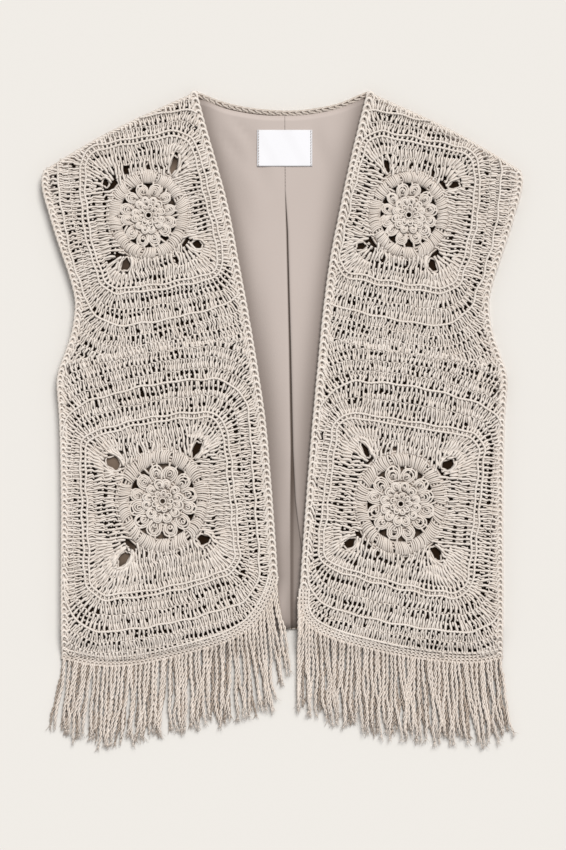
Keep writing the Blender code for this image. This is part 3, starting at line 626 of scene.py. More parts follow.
# Posts of two strands each along base + way * length * t: a broad one that leans to a side
# in each row, slant * (s - 1/2), and swells and rises by sin(pi s), and between it and the
# next post a lower one that sways by weave * cos(pi step / 3) and is missing at open gaps.
def addPosts(store, base, way, length, square, shown, narrow=1.0, gather=0.0):
    count = len(base)
    samples = np.maximum(1, np.round(length / lace["cell"])).astype(int) * lace["perTurn"]
    step = np.arange(samples.max() + 1)
    t = step / samples[:, None]
    inPost = t <= 1 + 1e-9
    t = np.minimum(t, 1.0)
    centre = base[:, None] + way[:, None] * (length[:, None] * t)[..., None]
    across = -leftOf(way)[:, None]
    if gather:   # neighbours lean together at their feet
        lean = np.where(np.arange(count) % 2 == 0, gather, -gather)
        centre = centre + across * (lean[:, None] * (1 - t) ** 2)[..., None]
    knots = np.linspace(0, count - 1, max(2, count // 9))

    def slowly(low):    # an even change from post to post, at most 1
        return np.interp(np.arange(count), knots, rng.uniform(low, 1, len(knots)))

    inRow = (step + 2) % 6 / 6
    slant = lace["slant"] * (slowly(-1)[:, None] + rng.uniform(-0.7, 0.7, (count, 1)))
    wobble = slant * (inRow - 0.5) + rng.normal(0, 0.16, t.shape)
    centre, cut = openHoles(loosened(centre + across * wobble[..., None]), square)
    kept = inPost & shown(centre) & ~cut
    keep = withoutStubs(kept[:, 1:] & kept[:, :-1] & (np.diff(t, axis=1) > 1e-9))
    middle = laceFloor(centre[..., 1]) + lace["middleHeight"]
    swell = np.sin(math.pi * inRow)
    thick = lace["strand"] * rng.uniform(0.94, 1.08, (count, 1)) * (0.7 + 0.36 * swell)
    z = middle + lace["lift"] * swell + rng.uniform(-0.2, 0.2, (count, 1))
    store.add(raised(centre, z), thick, 4, keep)
    runs = np.stack([slowly(0) for _ in step], axis=1)
    gaps = runs + rng.normal(0, 0.12, t.shape) < np.array(lace["open"])[step % 6]
    size = lace["between"] * (1 + rng.normal(0, 0.1, t.shape)) * (1 - 0.3 * (step % 3 == 1))
    away = lace["postPitch"] / 2 * (1 - (1 - narrow) * t)
    away = away + lace["weave"] * np.cos(math.pi * step / 3) + rng.normal(0, 0.15, t.shape)
    z = middle - lace["sink"] + rng.uniform(-0.3, 0.3, (count, 1))
    whole = keep & ~(gaps[:, 1:] | gaps[:, :-1])
    store.add(raised(centre + across * away[..., None], z), size, 4, whole)


# A round of posts over a loop: the feet are the loop moved out by the share low of the
# distance reach along its normals, the heads by the share high.
def addRound(store, loop, normals, reach, low, high, square, shown, gather=0.0):
    middle = loop + normals * (reach * (low + high) / 2)[:, None]
    index = spreadRound(middle, lace["postPitch"])
    way, far = takeAt(normals, index), takeAt(reach[:, None], index)[:, 0]
    way /= np.linalg.norm(way, axis=1, keepdims=True)
    start = takeAt(loop, index) + way * (far * low)[:, None]
    addPosts(store, start, way, far * (high - low), square, shown, gather=gather)


# Posts between the ring and the first ridge: straight across from each side, and as a fan
# from the hole at each corner.
def addInnerPosts(store, ridge, square, shown):
    centre, corners = np.array(square["centre"]), np.array(square["inner"])
    ring = np.array(square["ringOut"]) - 1.8
    ways = sideWays(corners)
    toCorner = np.roll(corners, -1, axis=0) - centre
    hubs = centre + toCorner / np.linalg.norm(toCorner / ring, axis=1)[:, None]
    a = np.linspace(0, -tau, 120, endpoint=False)
    ringLoop = centre + ring * together(np.cos(a), np.sin(a))
    block = perSide + perCorner
    for k in range(4):
        u, v = ways[k], ways[(k + 1) % 4]
        side = ridge[k * block:k * block + perSide]
        low, high = (hubs[k - 1] - centre) @ u, (hubs[k] - centre) @ u
        base = rowsAt(stepsOf(low, high, lace["postPitch"]), (side - centre) @ u, side)
        way = np.repeat(-leftOf(u)[None], len(base), axis=0)
        length = np.minimum(reachOf(base, way, ringLoop), 60.0)
        addPosts(store, base, way, length, square, shown)
        # the fan from this side over the corner to the next side
        rim = np.roll(ridge, -k * block, axis=0)[:2 * block]
        first = np.argmax((rim - centre) @ u > high)
        past = (np.arange(len(rim)) >= block) & ((rim - centre) @ v > (hubs[k] - centre) @ v)
        rim = rim[first:np.argmax(past) + 1]
        along = lengthsOf(rim)
        base = rowsAt(stepsOf(0, along[-1], lace["postPitch"]), along, rim)
        way = hubs[k] - base
        far = np.linalg.norm(way, axis=1)
        starts = np.array(lace["fanStarts"])[np.arange(len(base)) % 4]
        reach = np.maximum(far - starts, 0.3 * far)
        narrow = ((far - reach) / far)[:, None]
        addPosts(store, base, way / far[:, None], reach, square, shown, narrow)


# A rope of strands along a line, P + left * spread * cos(a) + up * lift * sin(a), with a
# half turn each halfTurn mm, at a height over the floor.
def rope(store, line, halfTurn, strand, spread, lift, floor, height, keep=None, ring=4,
         perHalf=3, strands=2):
    line = evenly(line, halfTurn / perHalf)
    left = leftOf(waysOf(line))
    z = floor(line[:, 1]) + height
    if keep is not None:
        kept = keep(line)
        keep = (kept[1:] & kept[:-1])[None]
    for k in range(strands):
        a = math.pi * np.arange(len(line)) / perHalf + tau * k / strands
        path = raised(line + left * (spread * np.cos(a))[:, None], z + lift * np.sin(a))
        store.add(path, strand, ring, keep)


# the flower inside the ring
flower = {
    "arches": (1.0, 0.74, 0.48, 0.22), "petalYarn": 1.05, "petalLift": 1.7, "opening": 30.0,
    "secondSize": 0.66, "smallPetals": 9, "smallRadius": 8.6, "smallSize": 7.0, "smallYarn": 1.0,
    "bundles": 14, "perBundle": 9, "wrapYarn": 1.12, "wrapLift": 3.6, "holeRadius": 2.3,
    "underYarn": 1.7, "underGap": 3.1, "level": 0.84,
    "spokes": (-0.07, 0.08, 0.26),      # how far a petal's spokes lean, in radians
    "hub": ((1.1, 4.2), (3.0, 3.0)),    # rings round the hole: distance from it, and height
    # the wrapped ring's core: from which rim, how far out of it, and how high
    "core": (("ringIn", 0.4, 1.4), ("ringIn", 3.6, 2.2), ("ringIn", 7.0, 2.4),
             ("ringOut", -1.8, 1.6), ("ringOut", 0.8, 1.2)),
}


# Petal of nested arches open towards the flower's middle: long/2 cos a and
# wide/2 sin a (1 + 0.2 cos a), for a from opening to 360 - opening degrees, each arch inside
# the last one and higher.
def petal(store, centre, facing, long, wide, yarnSize, low, lift, arches):
    opening = math.radians(flower["opening"])
    for k, share in enumerate(arches):
        broad = share > 0.5
        a = np.linspace(opening, tau - opening, 13 if broad else 9) + math.pi
        a = a + rng.uniform(-0.7, 0.7) * (1.4 - share)
        uneven = 1 + 0.1 * np.sin(2 * a + anyPhase())
        along = (long / 2 - yarnSize) * share * np.cos(a) * uneven
        along = along + long * 0.13 * (1.1 - share) * rng.uniform(-1, 1)
        across = (wide / 2 - yarnSize) * share * np.sin(a) * (1 + 0.2 * np.cos(a))
        x, y = turned(along, across, facing)
        end = np.minimum(np.arange(len(a)), np.arange(len(a))[::-1]) / 3
        z = low + lift * k / len(arches) - 1.3 * np.clip(1 - end, 0, 1) ** 2
        z = z + rng.uniform(-0.15, 0.25)
        store.add(together(centre[0] + x, centre[1] + y, z), yarnSize, 5 if broad else 4)


def polar(centre, away, angle, tall=1.0):   # a place round a centre, on an oval tall times as high
    return centre[0] + away * np.cos(angle), centre[1] + tall * away * np.sin(angle)


# The flower: a flat spiral under it, radius = gap * turns, then large and second petals, the
# spokes that hold it to the ring, arched by sin(pi s), small petals, and rings round its hole.
def makeFlower(store, square):
    centre, petals = square["centre"], square["petals"]
    base = float(laceFloor(centre[1]))
    wideIn, tallIn = square["ringIn"]
    tall = tallIn / wideIn
    start, most = 4.5, petals["away"] + 1.5
    t = np.linspace(0, 1, int(most * 7))
    turn = tau * t * (most - start) / flower["underGap"]
    under = polar(centre, start + (most - start) * t, turn, tall)
    store.add(together(*under, base + 1.3), flower["underYarn"])
    s = np.linspace(0, 1, 6)
    for k in range(petals["count"]):
        facing = tau * (k + 0.5) / petals["count"] + rng.uniform(-0.04, 0.04)
        stretch = 1 + (tall - 1) * math.sin(facing) ** 2
        away = petals["away"] * stretch * rng.uniform(0.95, 1.04)
        size = rng.uniform(0.9, 1.08)
        petal(store, polar(centre, away, facing), facing + rng.uniform(-0.45, 0.45),
              petals["long"] * size, petals["wide"] * size, flower["petalYarn"], base + 3.2,
              flower["petalLift"], flower["arches"])
        small = petals["wide"] * flower["secondSize"] * rng.uniform(0.94, 1.06)
        second = polar(centre, petals["second"] * stretch, facing + rng.uniform(-0.06, 0.06))
        petal(store, second, facing, small * 1.25, small, 1.1, base + 4.1, 1.2, (1.0, 0.6, 0.22))
        edge = math.hypot(wideIn * math.cos(facing), tallIn * math.sin(facing))
        for lean in flower["spokes"][:rng.integers(2, 4)]:
            lean += rng.uniform(-0.04, 0.04)
            angle = facing + lean * (1 + (rng.uniform(1.0, 1.8) - 1) * s)
            spoke = polar(centre, away + 3.0 + (edge - away - 1.5) * s, angle)
            store.add(together(*spoke, base + 2.1 + 1.2 * np.sin(math.pi * s)), 1.3)
    for k in range(flower["smallPetals"]):
        facing = tau * k / flower["smallPetals"] + rng.uniform(-0.06, 0.06)
        petal(store, polar(centre, flower["smallRadius"], facing), facing,
              flower["smallSize"] * 1.2, flower["smallSize"], flower["smallYarn"], base + 4.4,
              1.0, (1.0, 0.3))
    a = np.linspace(0, tau, 25)
    for away, high in flower["hub"]:
        ring = polar(centre, flower["holeRadius"] + away, a)
        store.add(together(*ring, base + high + 0.3 * np.sin(8 * a)), flower["smallYarn"])
    makeWraps(store, square, base)


# Wrapped ring: strands over a core from the inner to the outer rim of an oval, raised by
# lift * sin(pi s)^0.5, in bundles that each lean to one side and bulge by 1 - (2 at - 1)^2.
def makeWraps(store, square, base):
    centre, inside, outside = square["centre"], square["ringIn"], square["ringOut"]
    per = flower["perBundle"] - (np.arange(flower["bundles"]) % 3 == 1)
    edges = np.concatenate([[0], np.cumsum(per)]) / per.sum() * tau
    s = np.linspace(0, 1, 8)
    rise = base + 0.9 + flower["wrapLift"] * np.sin(math.pi * np.clip(s, 0.05, 0.95)) ** 0.5
    for k, strands in enumerate(per):
        at = (np.arange(strands)[:, None] + 0.5) / strands
        lean, bow, grow = (rng.uniform(*span) for span in ((-0.11, 0.11), (-0.05, 0.05),
                                                           (-1.0, 0.6)))
        middle = (edges[k] + edges[k + 1]) / 2
        angle = edges[k] + (edges[k + 1] - edges[k]) * at
        angle = angle + lean * (s - 0.5) + bow * np.sin(math.pi * s)
        angle = middle + (angle - middle) * (0.9 + 0.07 * s) + rng.normal(0, 0.006, (strands, 1))
        bulge = 1 - (2 * at - 1) ** 2
        rx, ry = (near - 1.2 * bulge + (far + grow + 1.7 * bulge - 1.2 - near) * s
                  for near, far in zip(inside, outside))
        z = rise + (bulge - 0.5) + rng.uniform(-0.15, 0.15, (strands, 1))
        path = together(centre[0] + rx * np.cos(angle), centre[1] + ry * np.sin(angle), z)
        store.add(path, flower["wrapYarn"] * (0.9 + 0.3 * s))
    a = np.linspace(0, tau, 97)
    for rim, away, high in flower["core"]:
        wide, tall = square[rim]
        store.add(together(centre[0] + (wide + away) * np.cos(a),
                           centre[1] + (tall + away) * np.sin(a), base + high), 1.5)


# the fronts
borders = {"laceTuck": 6.0, "sideTuck": 3.4, "shoulderTuck": 0.6, "overlap": 4.0}


# One flower square and its half of a front: posts inside the first ridge, a round between it
# and the second, two rounds to the third and outerRounds past it, with a low strand over the
# heads of each of those rounds and a rope along each ridge.
def makeSquare(name, place, outline, half):
    square = squares[place + name.capitalize()]
    shown = lambda points: insideOf(points, outline) & half(points)
    field = YarnStore()
    gap, radius, bows = lace["ridgeGap"], lace["innerRadius"], square["innerBows"]
    ridge = roundedLoop(square["inner"], radius, bows)
    second = roundedLoop(widened(square["inner"], gap), radius + gap, bows)
    third = roundedLoop(square["outer"], lace["outerRadius"], square["outerBows"])
    addInnerPosts(field, ridge, square, shown)
    addRound(field, ridge, normalsOf(ridge), np.full(len(ridge), gap), 0, 1, square, shown)
    normals = normalsOf(second)
    reach = np.clip(reachOf(second, normals, third), 12.0, 60.0)
    for low in (0, 0.5):
        addRound(field, second, normals, reach, low, low + 0.5, square, shown)
    tops = [second + normals * (reach / 2)[:, None]]
    normals, rounds = normalsOf(third), lace["outerRounds"]
    far = np.full(len(third), lace["rowHeight"] * rounds)
    for k in range(rounds):
        low, high = k / rounds, (k + 1) / rounds
        addRound(field, third, normals, far, low, high, square, shown,
                 lace["gather"] if k in (0, 3) else 0.0)
        tops.append(third + normals * (far * high)[:, None])
    for top in tops:
        rope(field, closedLine(loosened(top)), lace["postPitch"], 1.0, 0.6, 0.5, laceFloor,
             lace["middleHeight"] + 0.6, shown, 3, 3, 1)
    for line in (ridge, second, third):
        rope(field, closedLine(loosened(line)), 3.4, 1.1, 0.45, 0.5, laceFloor,
             lace["middleHeight"] + 1.7, shown)
    addRims(field, square)
    # painted shade on the flower: its raised strands catch more light, so they are painted darker
    field.level = flower["level"]
    makeFlower(field, square)
    return field.finish("lace_" + place + "_" + name, "front_" + name, yarn, "yarn")


def makeFront(name):    # its two squares meet along a line across the middle, and overlap there
    outline = frontOutline(name, borders["laceTuck"], borders["sideTuck"], borders["shoulderTuck"])
    (x0, y0), (x1, y1) = lines["middle"][name]
    over = lambda p: p[..., 1] - y0 - (p[..., 0] - x0) * (y1 - y0) / (x1 - x0)
    return [makeSquare(name, place, outline, lambda p: way * over(p) > -borders["overlap"])
            for place, way in (("upper", 1), ("lower", -1))]


# Edges of the opening, the armholes and the neck: a row of arched stitches, each over the foot
# of the next, as (across from the edge, along, height) in mm for a pitch of 6.9 mm.
archPath = ((11.2, -5.6, 1.6), (9.4, -2.4, 2.4), (7.6, 1.6, 3.6), (5.0, 3.6, 4.2),
            (2.5, 2.2, 4.0), (1.5, -1.2, 3.2), (2.0, -4.8, 1.8))
archPitch = 6.9
edging = {
    "front": {"pitch": 6.9, "wide": 1.0, "high": 1.0, "yarn": 1.5, "line": "edge",
              "node": "border_front_", "toStart": 1},
    "side": {"pitch": 6.2, "wide": 0.8, "high": 0.95, "yarn": 1.35, "line": "side",
             "node": "edge_side_", "toStart": -1},
    "neck": {"pitch": 7.3, "wide": 0.42, "high": 0.8, "yarn": 1.2, "toStart": 1},
}


# places beside a line, at distances where along it (held at its ends) and across inward
def stationsOf(line, where, sign, across):
    length = lengthsOf(line)
    where = np.clip(where, 0, length[-1])
    side = rowsAt(where, length, sign * leftOf(waysOf(line)))
    return rowsAt(where, length, line) + side * across[..., None]


# the middles of a whole count of stitches along a line, as a column, and their pitch
def stitchesOf(line, pitch):
    whole = lengthsOf(line)[-1]
    count = int(whole / pitch)
    return (np.arange(count) + 0.5)[:, None] * (whole / count), whole / count


def addArches(store, line, sign, floor, kind):
    where, pitch = stitchesOf(line, kind["pitch"])
    across, along, z = curveThrough(
        np.array(archPath) * (kind["wide"], pitch / archPitch, kind["high"]), 1.6).T
    where = where - kind["toStart"] * along + rng.uniform(-0.3, 0.3, where.shape)
    spot = stationsOf(line, where, sign, across * rng.uniform(0.95, 1.05, (len(where), 1)))
    z = floor(spot[..., 1]) + z + rng.uniform(-0.2, 0.2, (len(where), 1))
    store.add(raised(spot, z), kind["yarn"], 5)


# An edging, with low strands under its arches, seen through their eyes. The side's has a rope
# along the shoulder too.
def makeEdging(name):
    sign, made = sides[name], []
    for title in ("front", "side"):
        kind, store = edging[title], YarnStore()
        line = lineOf(kind["line"], name)
        if title == "side":
            rope(store, toLeft(lineOf("shoulder", name), sign * 1.6), 5.0, 1.25, 1.0, 0.7,
                 laceFloor, 2.4, perHalf=4)
        addArches(store, line, sign, hemFloor, kind)
        for across in (3.6, 6.4):
            rope(store, toLeft(line, sign * across * kind["wide"]), 4.0, 1.3, 0.5, 0.3,
                 hemFloor, 1.5)
        made.append(store.finish("edging_" + title + "_" + name, kind["node"] + name,
                                 yarnPaintedLit, "yarn"))
    return made


# the braid over the hem: rows of small chain stitches between two fine cords, over low strands
hemBand = {"chains": (2.6, 6.2, 9.2), "pitch": 4.6, "long": 6.6, "wide": 2.7, "yarn": 0.95,
           "height": 2.3, "lift": 1.5, "cords": ((0.5, 2.6), (10.9, 4.0)), "cord": 1.1,
           "under": (1.6, 4.4, 7.7)}


# Chain stitches along a line: a teardrop loop each pitch, along = long/2 cos a and
# across = wide/2 sin a (1 - 0.35 cos a), its head risen over the next loop's tail.
def addChain(store, line, sign, across):
    a = np.linspace(0, tau, 12)
    where, _ = stitchesOf(line, hemBand["pitch"])
    where = where - hemBand["long"] / 2 * np.cos(a) + rng.uniform(-0.2, 0.2, where.shape)
    away = across + hemBand["wide"] / 2 * np.sin(a) * (1 - 0.35 * np.cos(a))
    spot = stationsOf(line, where, sign, away)
    z = hemFloor(spot[..., 1]) + hemBand["height"] + hemBand["lift"] * (0.5 + 0.5 * np.cos(a))
    store.add(raised(spot, z), hemBand["yarn"])


def makeHemBand(name):
    sign, store, line = sides[name], YarnStore(), lineOf("hem", name)
    for across in hemBand["chains"]:
        addChain(store, line, sign, across)
    for across in hemBand["under"]:
        rope(store, toLeft(line, sign * across), 4.6, 1.35, 0.4, 0.2, hemFloor, 1.75)
    for across, up in hemBand["cords"]:
        rope(store, toLeft(line, sign * across), 3.4, hemBand["cord"], 0.45, 0.5, hemFloor, up)
    return store.finish("hemBraid_" + name, "hem_band_" + name, yarnPaintedLit, "yarn")


# fringe
fringe = {
    "strands": 54, "behind": 64, "strand": 0.98, "spread": 1.06, "lift": 1.05,
    "halfTurn": 6.0, "perHalf": 3, "between": {"right": (-262.0, 9.0), "left": (18.0, 262.0)},
    "tipRight": ((11.0, -276.0), (3.0, -295.0), (-6.0, -312.0), (-19.0, -321.0), (-38.5, -331.0),
                 (-88.0, -338.0), (-135.0, -350.0), (-165.0, -358.0), (-200.0, -360.0),
                 (-233.0, -352.0), (-252.0, -344.0)),
    "tipLeft": ((20.0, -318.0), (42.0, -331.0), (69.0, -340.0), (98.0, -346.0), (130.0, -350.0),
                (165.0, -356.0), (200.0, -360.0), (226.0, -357.0), (253.0, -349.0)),
    "end": -360.0,      # no strand reaches past this, nor its fray past frayEnd
    "frayEnd": -366.0, "fray": 7, "frayYarn": 0.4,
}


# A strand: two plies round a middle line from the hem to its tip, with a broad bend,
# wide sin(k t + phase) t, and a smaller, quicker one, so that strands drift together and apart.
# Its middle line lies 4.6 mm over the floor in front and 2.3 mm behind.
def makeFringe(name):
    hem = lineOf("hem", name, 1.0)
    tips = np.array(fringe["tip" + name.capitalize()])
    tipAt = tips[np.argsort(tips[:, 0])].T
    along = lengthsOf(hem * (1.0, 0.6))
    made = []
    for layer, count in (("front", fringe["strands"]), ("behind", fringe["behind"])):
        front = layer == "front"
        # painted shade by height, more on the strands behind
        store = YarnStore(0.1 if front else 0.25)
        part = (np.arange(count) + 0.5) / count + rng.uniform(-0.3, 0.3, count) / count
        root = rowsAt(5.0 + (along[-1] - 7.0) * part, along, hem)
        # neighbours gather into loose locks of three or four
        locks = np.cumsum(rng.choice((3, 4, 5), count))
        lock = np.searchsorted(locks, np.arange(count), side="right")
        draw = rng.normal(0, 1.5, lock.max() + 1)[lock]
        shift = (tips[0] - hem[0])[0] * (1 - part) ** 4 + (tips[-1] - hem[-1])[0] * part ** 2
        tipX = root[:, 0] + shift + draw + rng.normal(0, 2.4 if front else 6.0, count)
        tipX = np.clip(tipX, -262.0, 262.0)
        tipY = np.interp(tipX, *tipAt) + rng.uniform(1, 15, count)
        tipY = np.maximum(tipY, fringe["end"]) + (0 if front else rng.uniform(0, 12, count))
        reach = together(tipX, tipY) - root
        between = np.array(fringe["between"][name]) + (0 if front else (5.0, -5.0))
        for k in np.flatnonzero((part > (0 if front else 0.13)) | (np.arange(count) % 3 == 0)):
            samples = int(math.hypot(*reach[k]) / fringe["halfTurn"] * fringe["perHalf"]) + 1
            t = np.linspace(0, 1, samples)
            swell = t * (1 - 0.4 * t)
            bend = rng.uniform(1.5, 4.5) * np.sin(rng.uniform(4, 8) * t + anyPhase()) * swell
            bend += rng.uniform(0.6, 1.7) * np.sin(rng.uniform(9, 17) * t + anyPhase()) * swell
            bend += rng.uniform(0.15, 0.4) * np.sin(rng.uniform(24, 40) * t)
            x = np.clip(root[k, 0] + reach[k, 0] * t ** 1.2 + bend, *between)
            y = root[k, 1] + 1.5 + (reach[k, 1] - 1.5) * t
            z = hemFloor(y) + (4.6 if front else 2.3)
            if front:
                z = z + 1.1 * np.sin(rng.uniform(4, 8) * t + anyPhase()) * t - 0.6 * t
            z = np.maximum(z, 2.4)
            a = math.pi * np.arange(samples) / fringe["perHalf"] + anyPhase()
            thin = np.where(t > 0.85, 1 - (t - 0.85) * 3.4, 1.0) * rng.uniform(0.88, 1.12)
            for flip in (0, math.pi):
                path = together(x + fringe["spread"] * np.cos(a + flip), y,
                                z + fringe["lift"] * np.sin(a + flip))
                store.add(path, fringe["strand"] * thin, 4 if front else 3)
            addFray(store, (x[-1], y[-1], z[-1]), (x[-1] - x[-3], y[-1] - y[-3]))
        made.append(store.finish("fringe_" + layer + "_" + name + "_strands", "fringe_" + name,
                                 fringeYarnPaintedLit if front else fringeBehindPaintedShade, "fringe"))
    return made


# loose fibres at a strand's tip, short curves that spread from its last stretch by bend t^2
def addFray(store, tip, way):
    facing = math.atan2(way[1], way[0])
    t = np.linspace(0, 1, 4)
    for _ in range(fringe["fray"]):
        angle = facing + rng.normal(0, 0.4)
        long = rng.uniform(3.0, 9.0)
        x, y = turned(long * t, rng.uniform(-0.8, 0.8) * t ** 2, angle)
        z = np.maximum(tip[2] + rng.uniform(-0.8, 0.6) * t, 0.6)
        store.add(together(tip[0] + x, np.maximum(tip[1] + y, fringe["frayEnd"]), z),
                  fringe["frayYarn"] * (1 - 0.7 * t), 3)


# the neck's edge: arches like the others, and a rope under them
def makeNeck():
    store = YarnStore()
    line = curveThrough(((-92.0, 359.5), *lines["neck"], (92.0, 359.5)), 2.0)
    floor = lambda y: np.full_like(y, 3.6)
    addArches(store, line, -1, floor, edging["neck"])
    rope(store, toLeft(line, -4.3), 3.7, 1.15, 0.4, 0.4, floor, 1.6)
    return store.finish("neckRope", "border_neck", yarnPaintedLit, "yarn")


# lining sheets: a thin closed sheet on a grid of rows by columns between its edge lines,
# with its upper side at heightOf and its own shade, 1 in the open and lower in shadow
def sheetPiece(name, node, rows, columns, edgeOf, heightOf, shadeOf, thick, material):
    grid = edgeOf(np.linspace(0, 1, rows)[:, None], np.linspace(0, 1, columns)[None, :])
    x, y = grid[..., 0], grid[..., 1]
    upper = raised(grid, heightOf(x, y)).reshape(-1, 3)
    index = np.arange(rows * columns).reshape(rows, columns)
    cells = together(index[:-1, :-1], index[:-1, 1:], index[1:, 1:], index[1:, :-1])
    rim = np.concatenate([index[0, :-1], index[:-1, -1], index[-1, :0:-1], index[:0:-1, 0]])
    after, below = np.roll(rim, -1), index.size
    faces = [f.reshape(-1, 4) for f in (cells, cells[..., ::-1] + below, together(
        rim, rim + below, after + below, after))]
    half = rows // 2
    if crossOf(grid[half, 1] - grid[half, 0], grid[half + 1, 0] - grid[half, 0]) < 0:
        faces = [f[:, ::-1] for f in faces]     # the grid runs clockwise
    return meshPiece(name, node, np.concatenate([upper, upper - (0, 0, thick)]), faces, material,
                     {"shade": np.tile(shadeOf(x, y).ravel(), 2)})


# distance from many points to the nearest point of a line
def awayFrom(x, y, line):
    away = np.full(x.shape, 1e9)
    for place in line:
        away = np.minimum(away, np.hypot(x - place[0], y - place[1]))
    return away


def bodyHalf(y, inset):     # half width of the body by y
    side = np.array(lines["side"])
    return np.interp(y, side[:, 1], side[:, 0], right=264.3) - inset


# the body's top by the distance from the middle line: the neck's line, then the shoulder's
def bodyTop(away, shoulderInset, neckInset):
    shoulder, neck = lineOf("shoulder", "left"), curveThrough(lines["neck"], 2.0)
    over = np.interp(away, *shoulder[::-1].T) - shoulderInset
    return np.where(away < 86, np.interp(away, *neck.T) - neckInset, over)


pleat = np.array((  # y, the right half's fold, the left half's fold
    (334.0, 2.7, 2.8), (253.0, 3.3, 3.4), (209.0, 5.0, 6.2), (77.0, 8.0, 9.7), (-33.0, 9.9, 12.1),
    (-88.0, 9.4, 14.6), (-110.0, 9.4, 17.0), (-160.0, 9.6, 24.0), (-226.0, 9.8, 33.0)))
lining = {
    "hem": -228.4, "side": 236.0, "thick": 0.8, "shadeDeep": 0.56, "foldShade": 0.30,
    # by y: how far the fronts' shadow reaches, the shade in the open, and that in the pleat
    "reach": ((-228.0, 6.5), (-120.0, 8.5), (-50.0, 17.0), (150.0, 12.5)),
    "open": ((-228.0, 0.52), (-214.0, 0.76), (-200.0, 0.85), (-175.0, 0.91), (-130.0, 0.94),
             (0.0, 0.975), (150.0, 1.0)),
    "slit": ((-228.0, 0.30), (-190.0, 0.44), (-150.0, 0.46), (-110.0, 0.34), (-60.0, 0.05),
             (260.0, 0.02)),
}
creases = (  # x and y of two ends, width and depth of soft troughs, in mm
    ((-70.0, 326.0), (-36.0, 276.0), 5.0, 1.2), ((-56.0, 336.0), (-30.0, 306.0), 3.5, 1.0),
    ((-38.0, 330.0), (-14.0, 250.0), 8.0, 0.8), ((-58.0, 300.0), (-30.0, 200.0), 9.0, 0.8),
    ((34.0, 330.0), (52.0, 270.0), 7.0, 0.8), ((60.0, 322.0), (44.0, 180.0), 10.0, 0.7),
    ((-24.0, 180.0), (-12.0, -60.0), 8.0, 0.6), ((30.0, 120.0), (24.0, -120.0), 9.0, 0.6))
# where light reaches the lining under the lace: x, y, reach in mm, and how bright it is there
lit = (
    (-130.9, -48.0, 22.0, 0.30), (-130.9, -131.0, 22.0, 0.26), (130.1, -50.0, 24.0, 0.30),
    (130.1, -134.0, 20.0, 0.24), (-122.0, 252.0, 14.0, 0.22), (-121.0, 264.0, 20.0, 0.40),
    (-171.0, 170.0, 9.0, 0.12), (-185.0, -47.0, 13.0, 0.36), (-139.0, -50.0, 15.0, 0.32),
    (-146.0, -126.0, 15.0, 0.30), (-172.0, -150.0, 13.0, 0.28), (-131.0, -89.0, 6.0, 0.34))


def byY(y, key):        # one of the lining's tables by y
    return np.interp(y, *np.array(lining[key]).T)


# depth of the creases, deep * exp(-(away / wide)^2) * sin(pi t) for each, t along it
def creased(x, y, ends):
    depth = 0
    for a, b, wide, deep in creases:
        way = np.array(b) - np.array(a)
        t = np.clip(((x - a[0]) * way[0] + (y - a[1]) * way[1]) / (way ** 2).sum(), 0, 1)
        away = np.hypot(x - a[0] - t * way[0], y - a[1] - t * way[1])
        depth = depth + deep * np.exp(-(away / wide) ** 2) * np.sin(
            math.pi * np.clip(t, ends, 1 - ends))
    return depth


# The back lining's halves: columns run from the pleat's fold to the side, closer by the fold.
# The fold edges turn down a little below the seam, by (1 - away / wide)^2.
def makeBackLining(name):
    sign = sides[name]
    foldAt = lambda y: np.interp(y, pleat[::-1, 0], pleat[::-1, 1 if sign < 0 else 2])
    atFold = lambda x, y, wide: np.clip(1 - np.abs(x - foldAt(y)) / wide, 0, 1) ** 2
    edges = np.vstack([lineOf(kind, side, 4.0) for side in sides for kind in ("edge", "hem")])

    def edgeOf(v, u):
        u = u ** 1.4
        fold = foldAt(lining["hem"] + 566 * v)
        x = fold + (sign * lining["side"] - fold) * u
        for _ in range(4):   # the top is read at where the points come to lie
            y = lining["hem"] + (bodyTop(np.abs(x), 8.0, 5.3) - lining["hem"]) * v
            half = np.minimum(bodyHalf(y, 8.0), lining["side"] + 20)
            x = foldAt(y) + (sign * half - foldAt(y)) * u
        return together(x, y)

    def heightOf(x, y):
        z = stack["liningTop"] + 0.25 + 0.2 * np.sin(x / 17.0 + y / 90.0)
        z = z + 0.15 * np.sin(y / 43.0 + x / 60.0) - creased(x, y, 0.1)
        return z - 0.8 * atFold(x, y, 2.2) * np.clip((250.0 - y) / 60.0, 0, 1)

    def shadeOf(x, y):
        near = np.exp(-(awayFrom(x, y, edges) / byY(y, "reach")) ** 1.6)
        shade = (1 - lining["shadeDeep"] * near) * byY(y, "open") - 0.09 * creased(x, y, 0.0)
        shade = shade * (1 - 0.5 * atFold(x, y, 1.6) * np.clip((262.0 - y) / 40.0, 0, 1))
        beside = np.exp(-((x - foldAt(y)) / 7.0) ** 2) * np.clip((-60.0 - y) / 80.0, 0, 1)
        return shade * (1 - lining["foldShade"] * beside * (sign < 0))

    return sheetPiece("backLining_" + name, "lining_back_" + name, 90, 44, edgeOf, heightOf,
                      shadeOf, lining["thick"], satin)


# The cloth behind the pleat, with painted shade: dark in the slit and lighter where the folds part.
def makePleat():
    edgeOf = lambda v, u: together(-17.0 + 70.0 * u, lining["hem"] + 0.6 + 488.0 * v)
    heightOf = lambda x, y: 4.1 + 0.15 * np.sin(y / 30.0)
    shadeOf = lambda x, y: byY(y, "slit") * (1 - 0.8 * np.exp(-((x - 10.8) / 1.7) ** 2))
    return sheetPiece("pleatCloth", "lining_pleat", 50, 40, edgeOf, heightOf, shadeOf,
                      lining["thick"], satin)
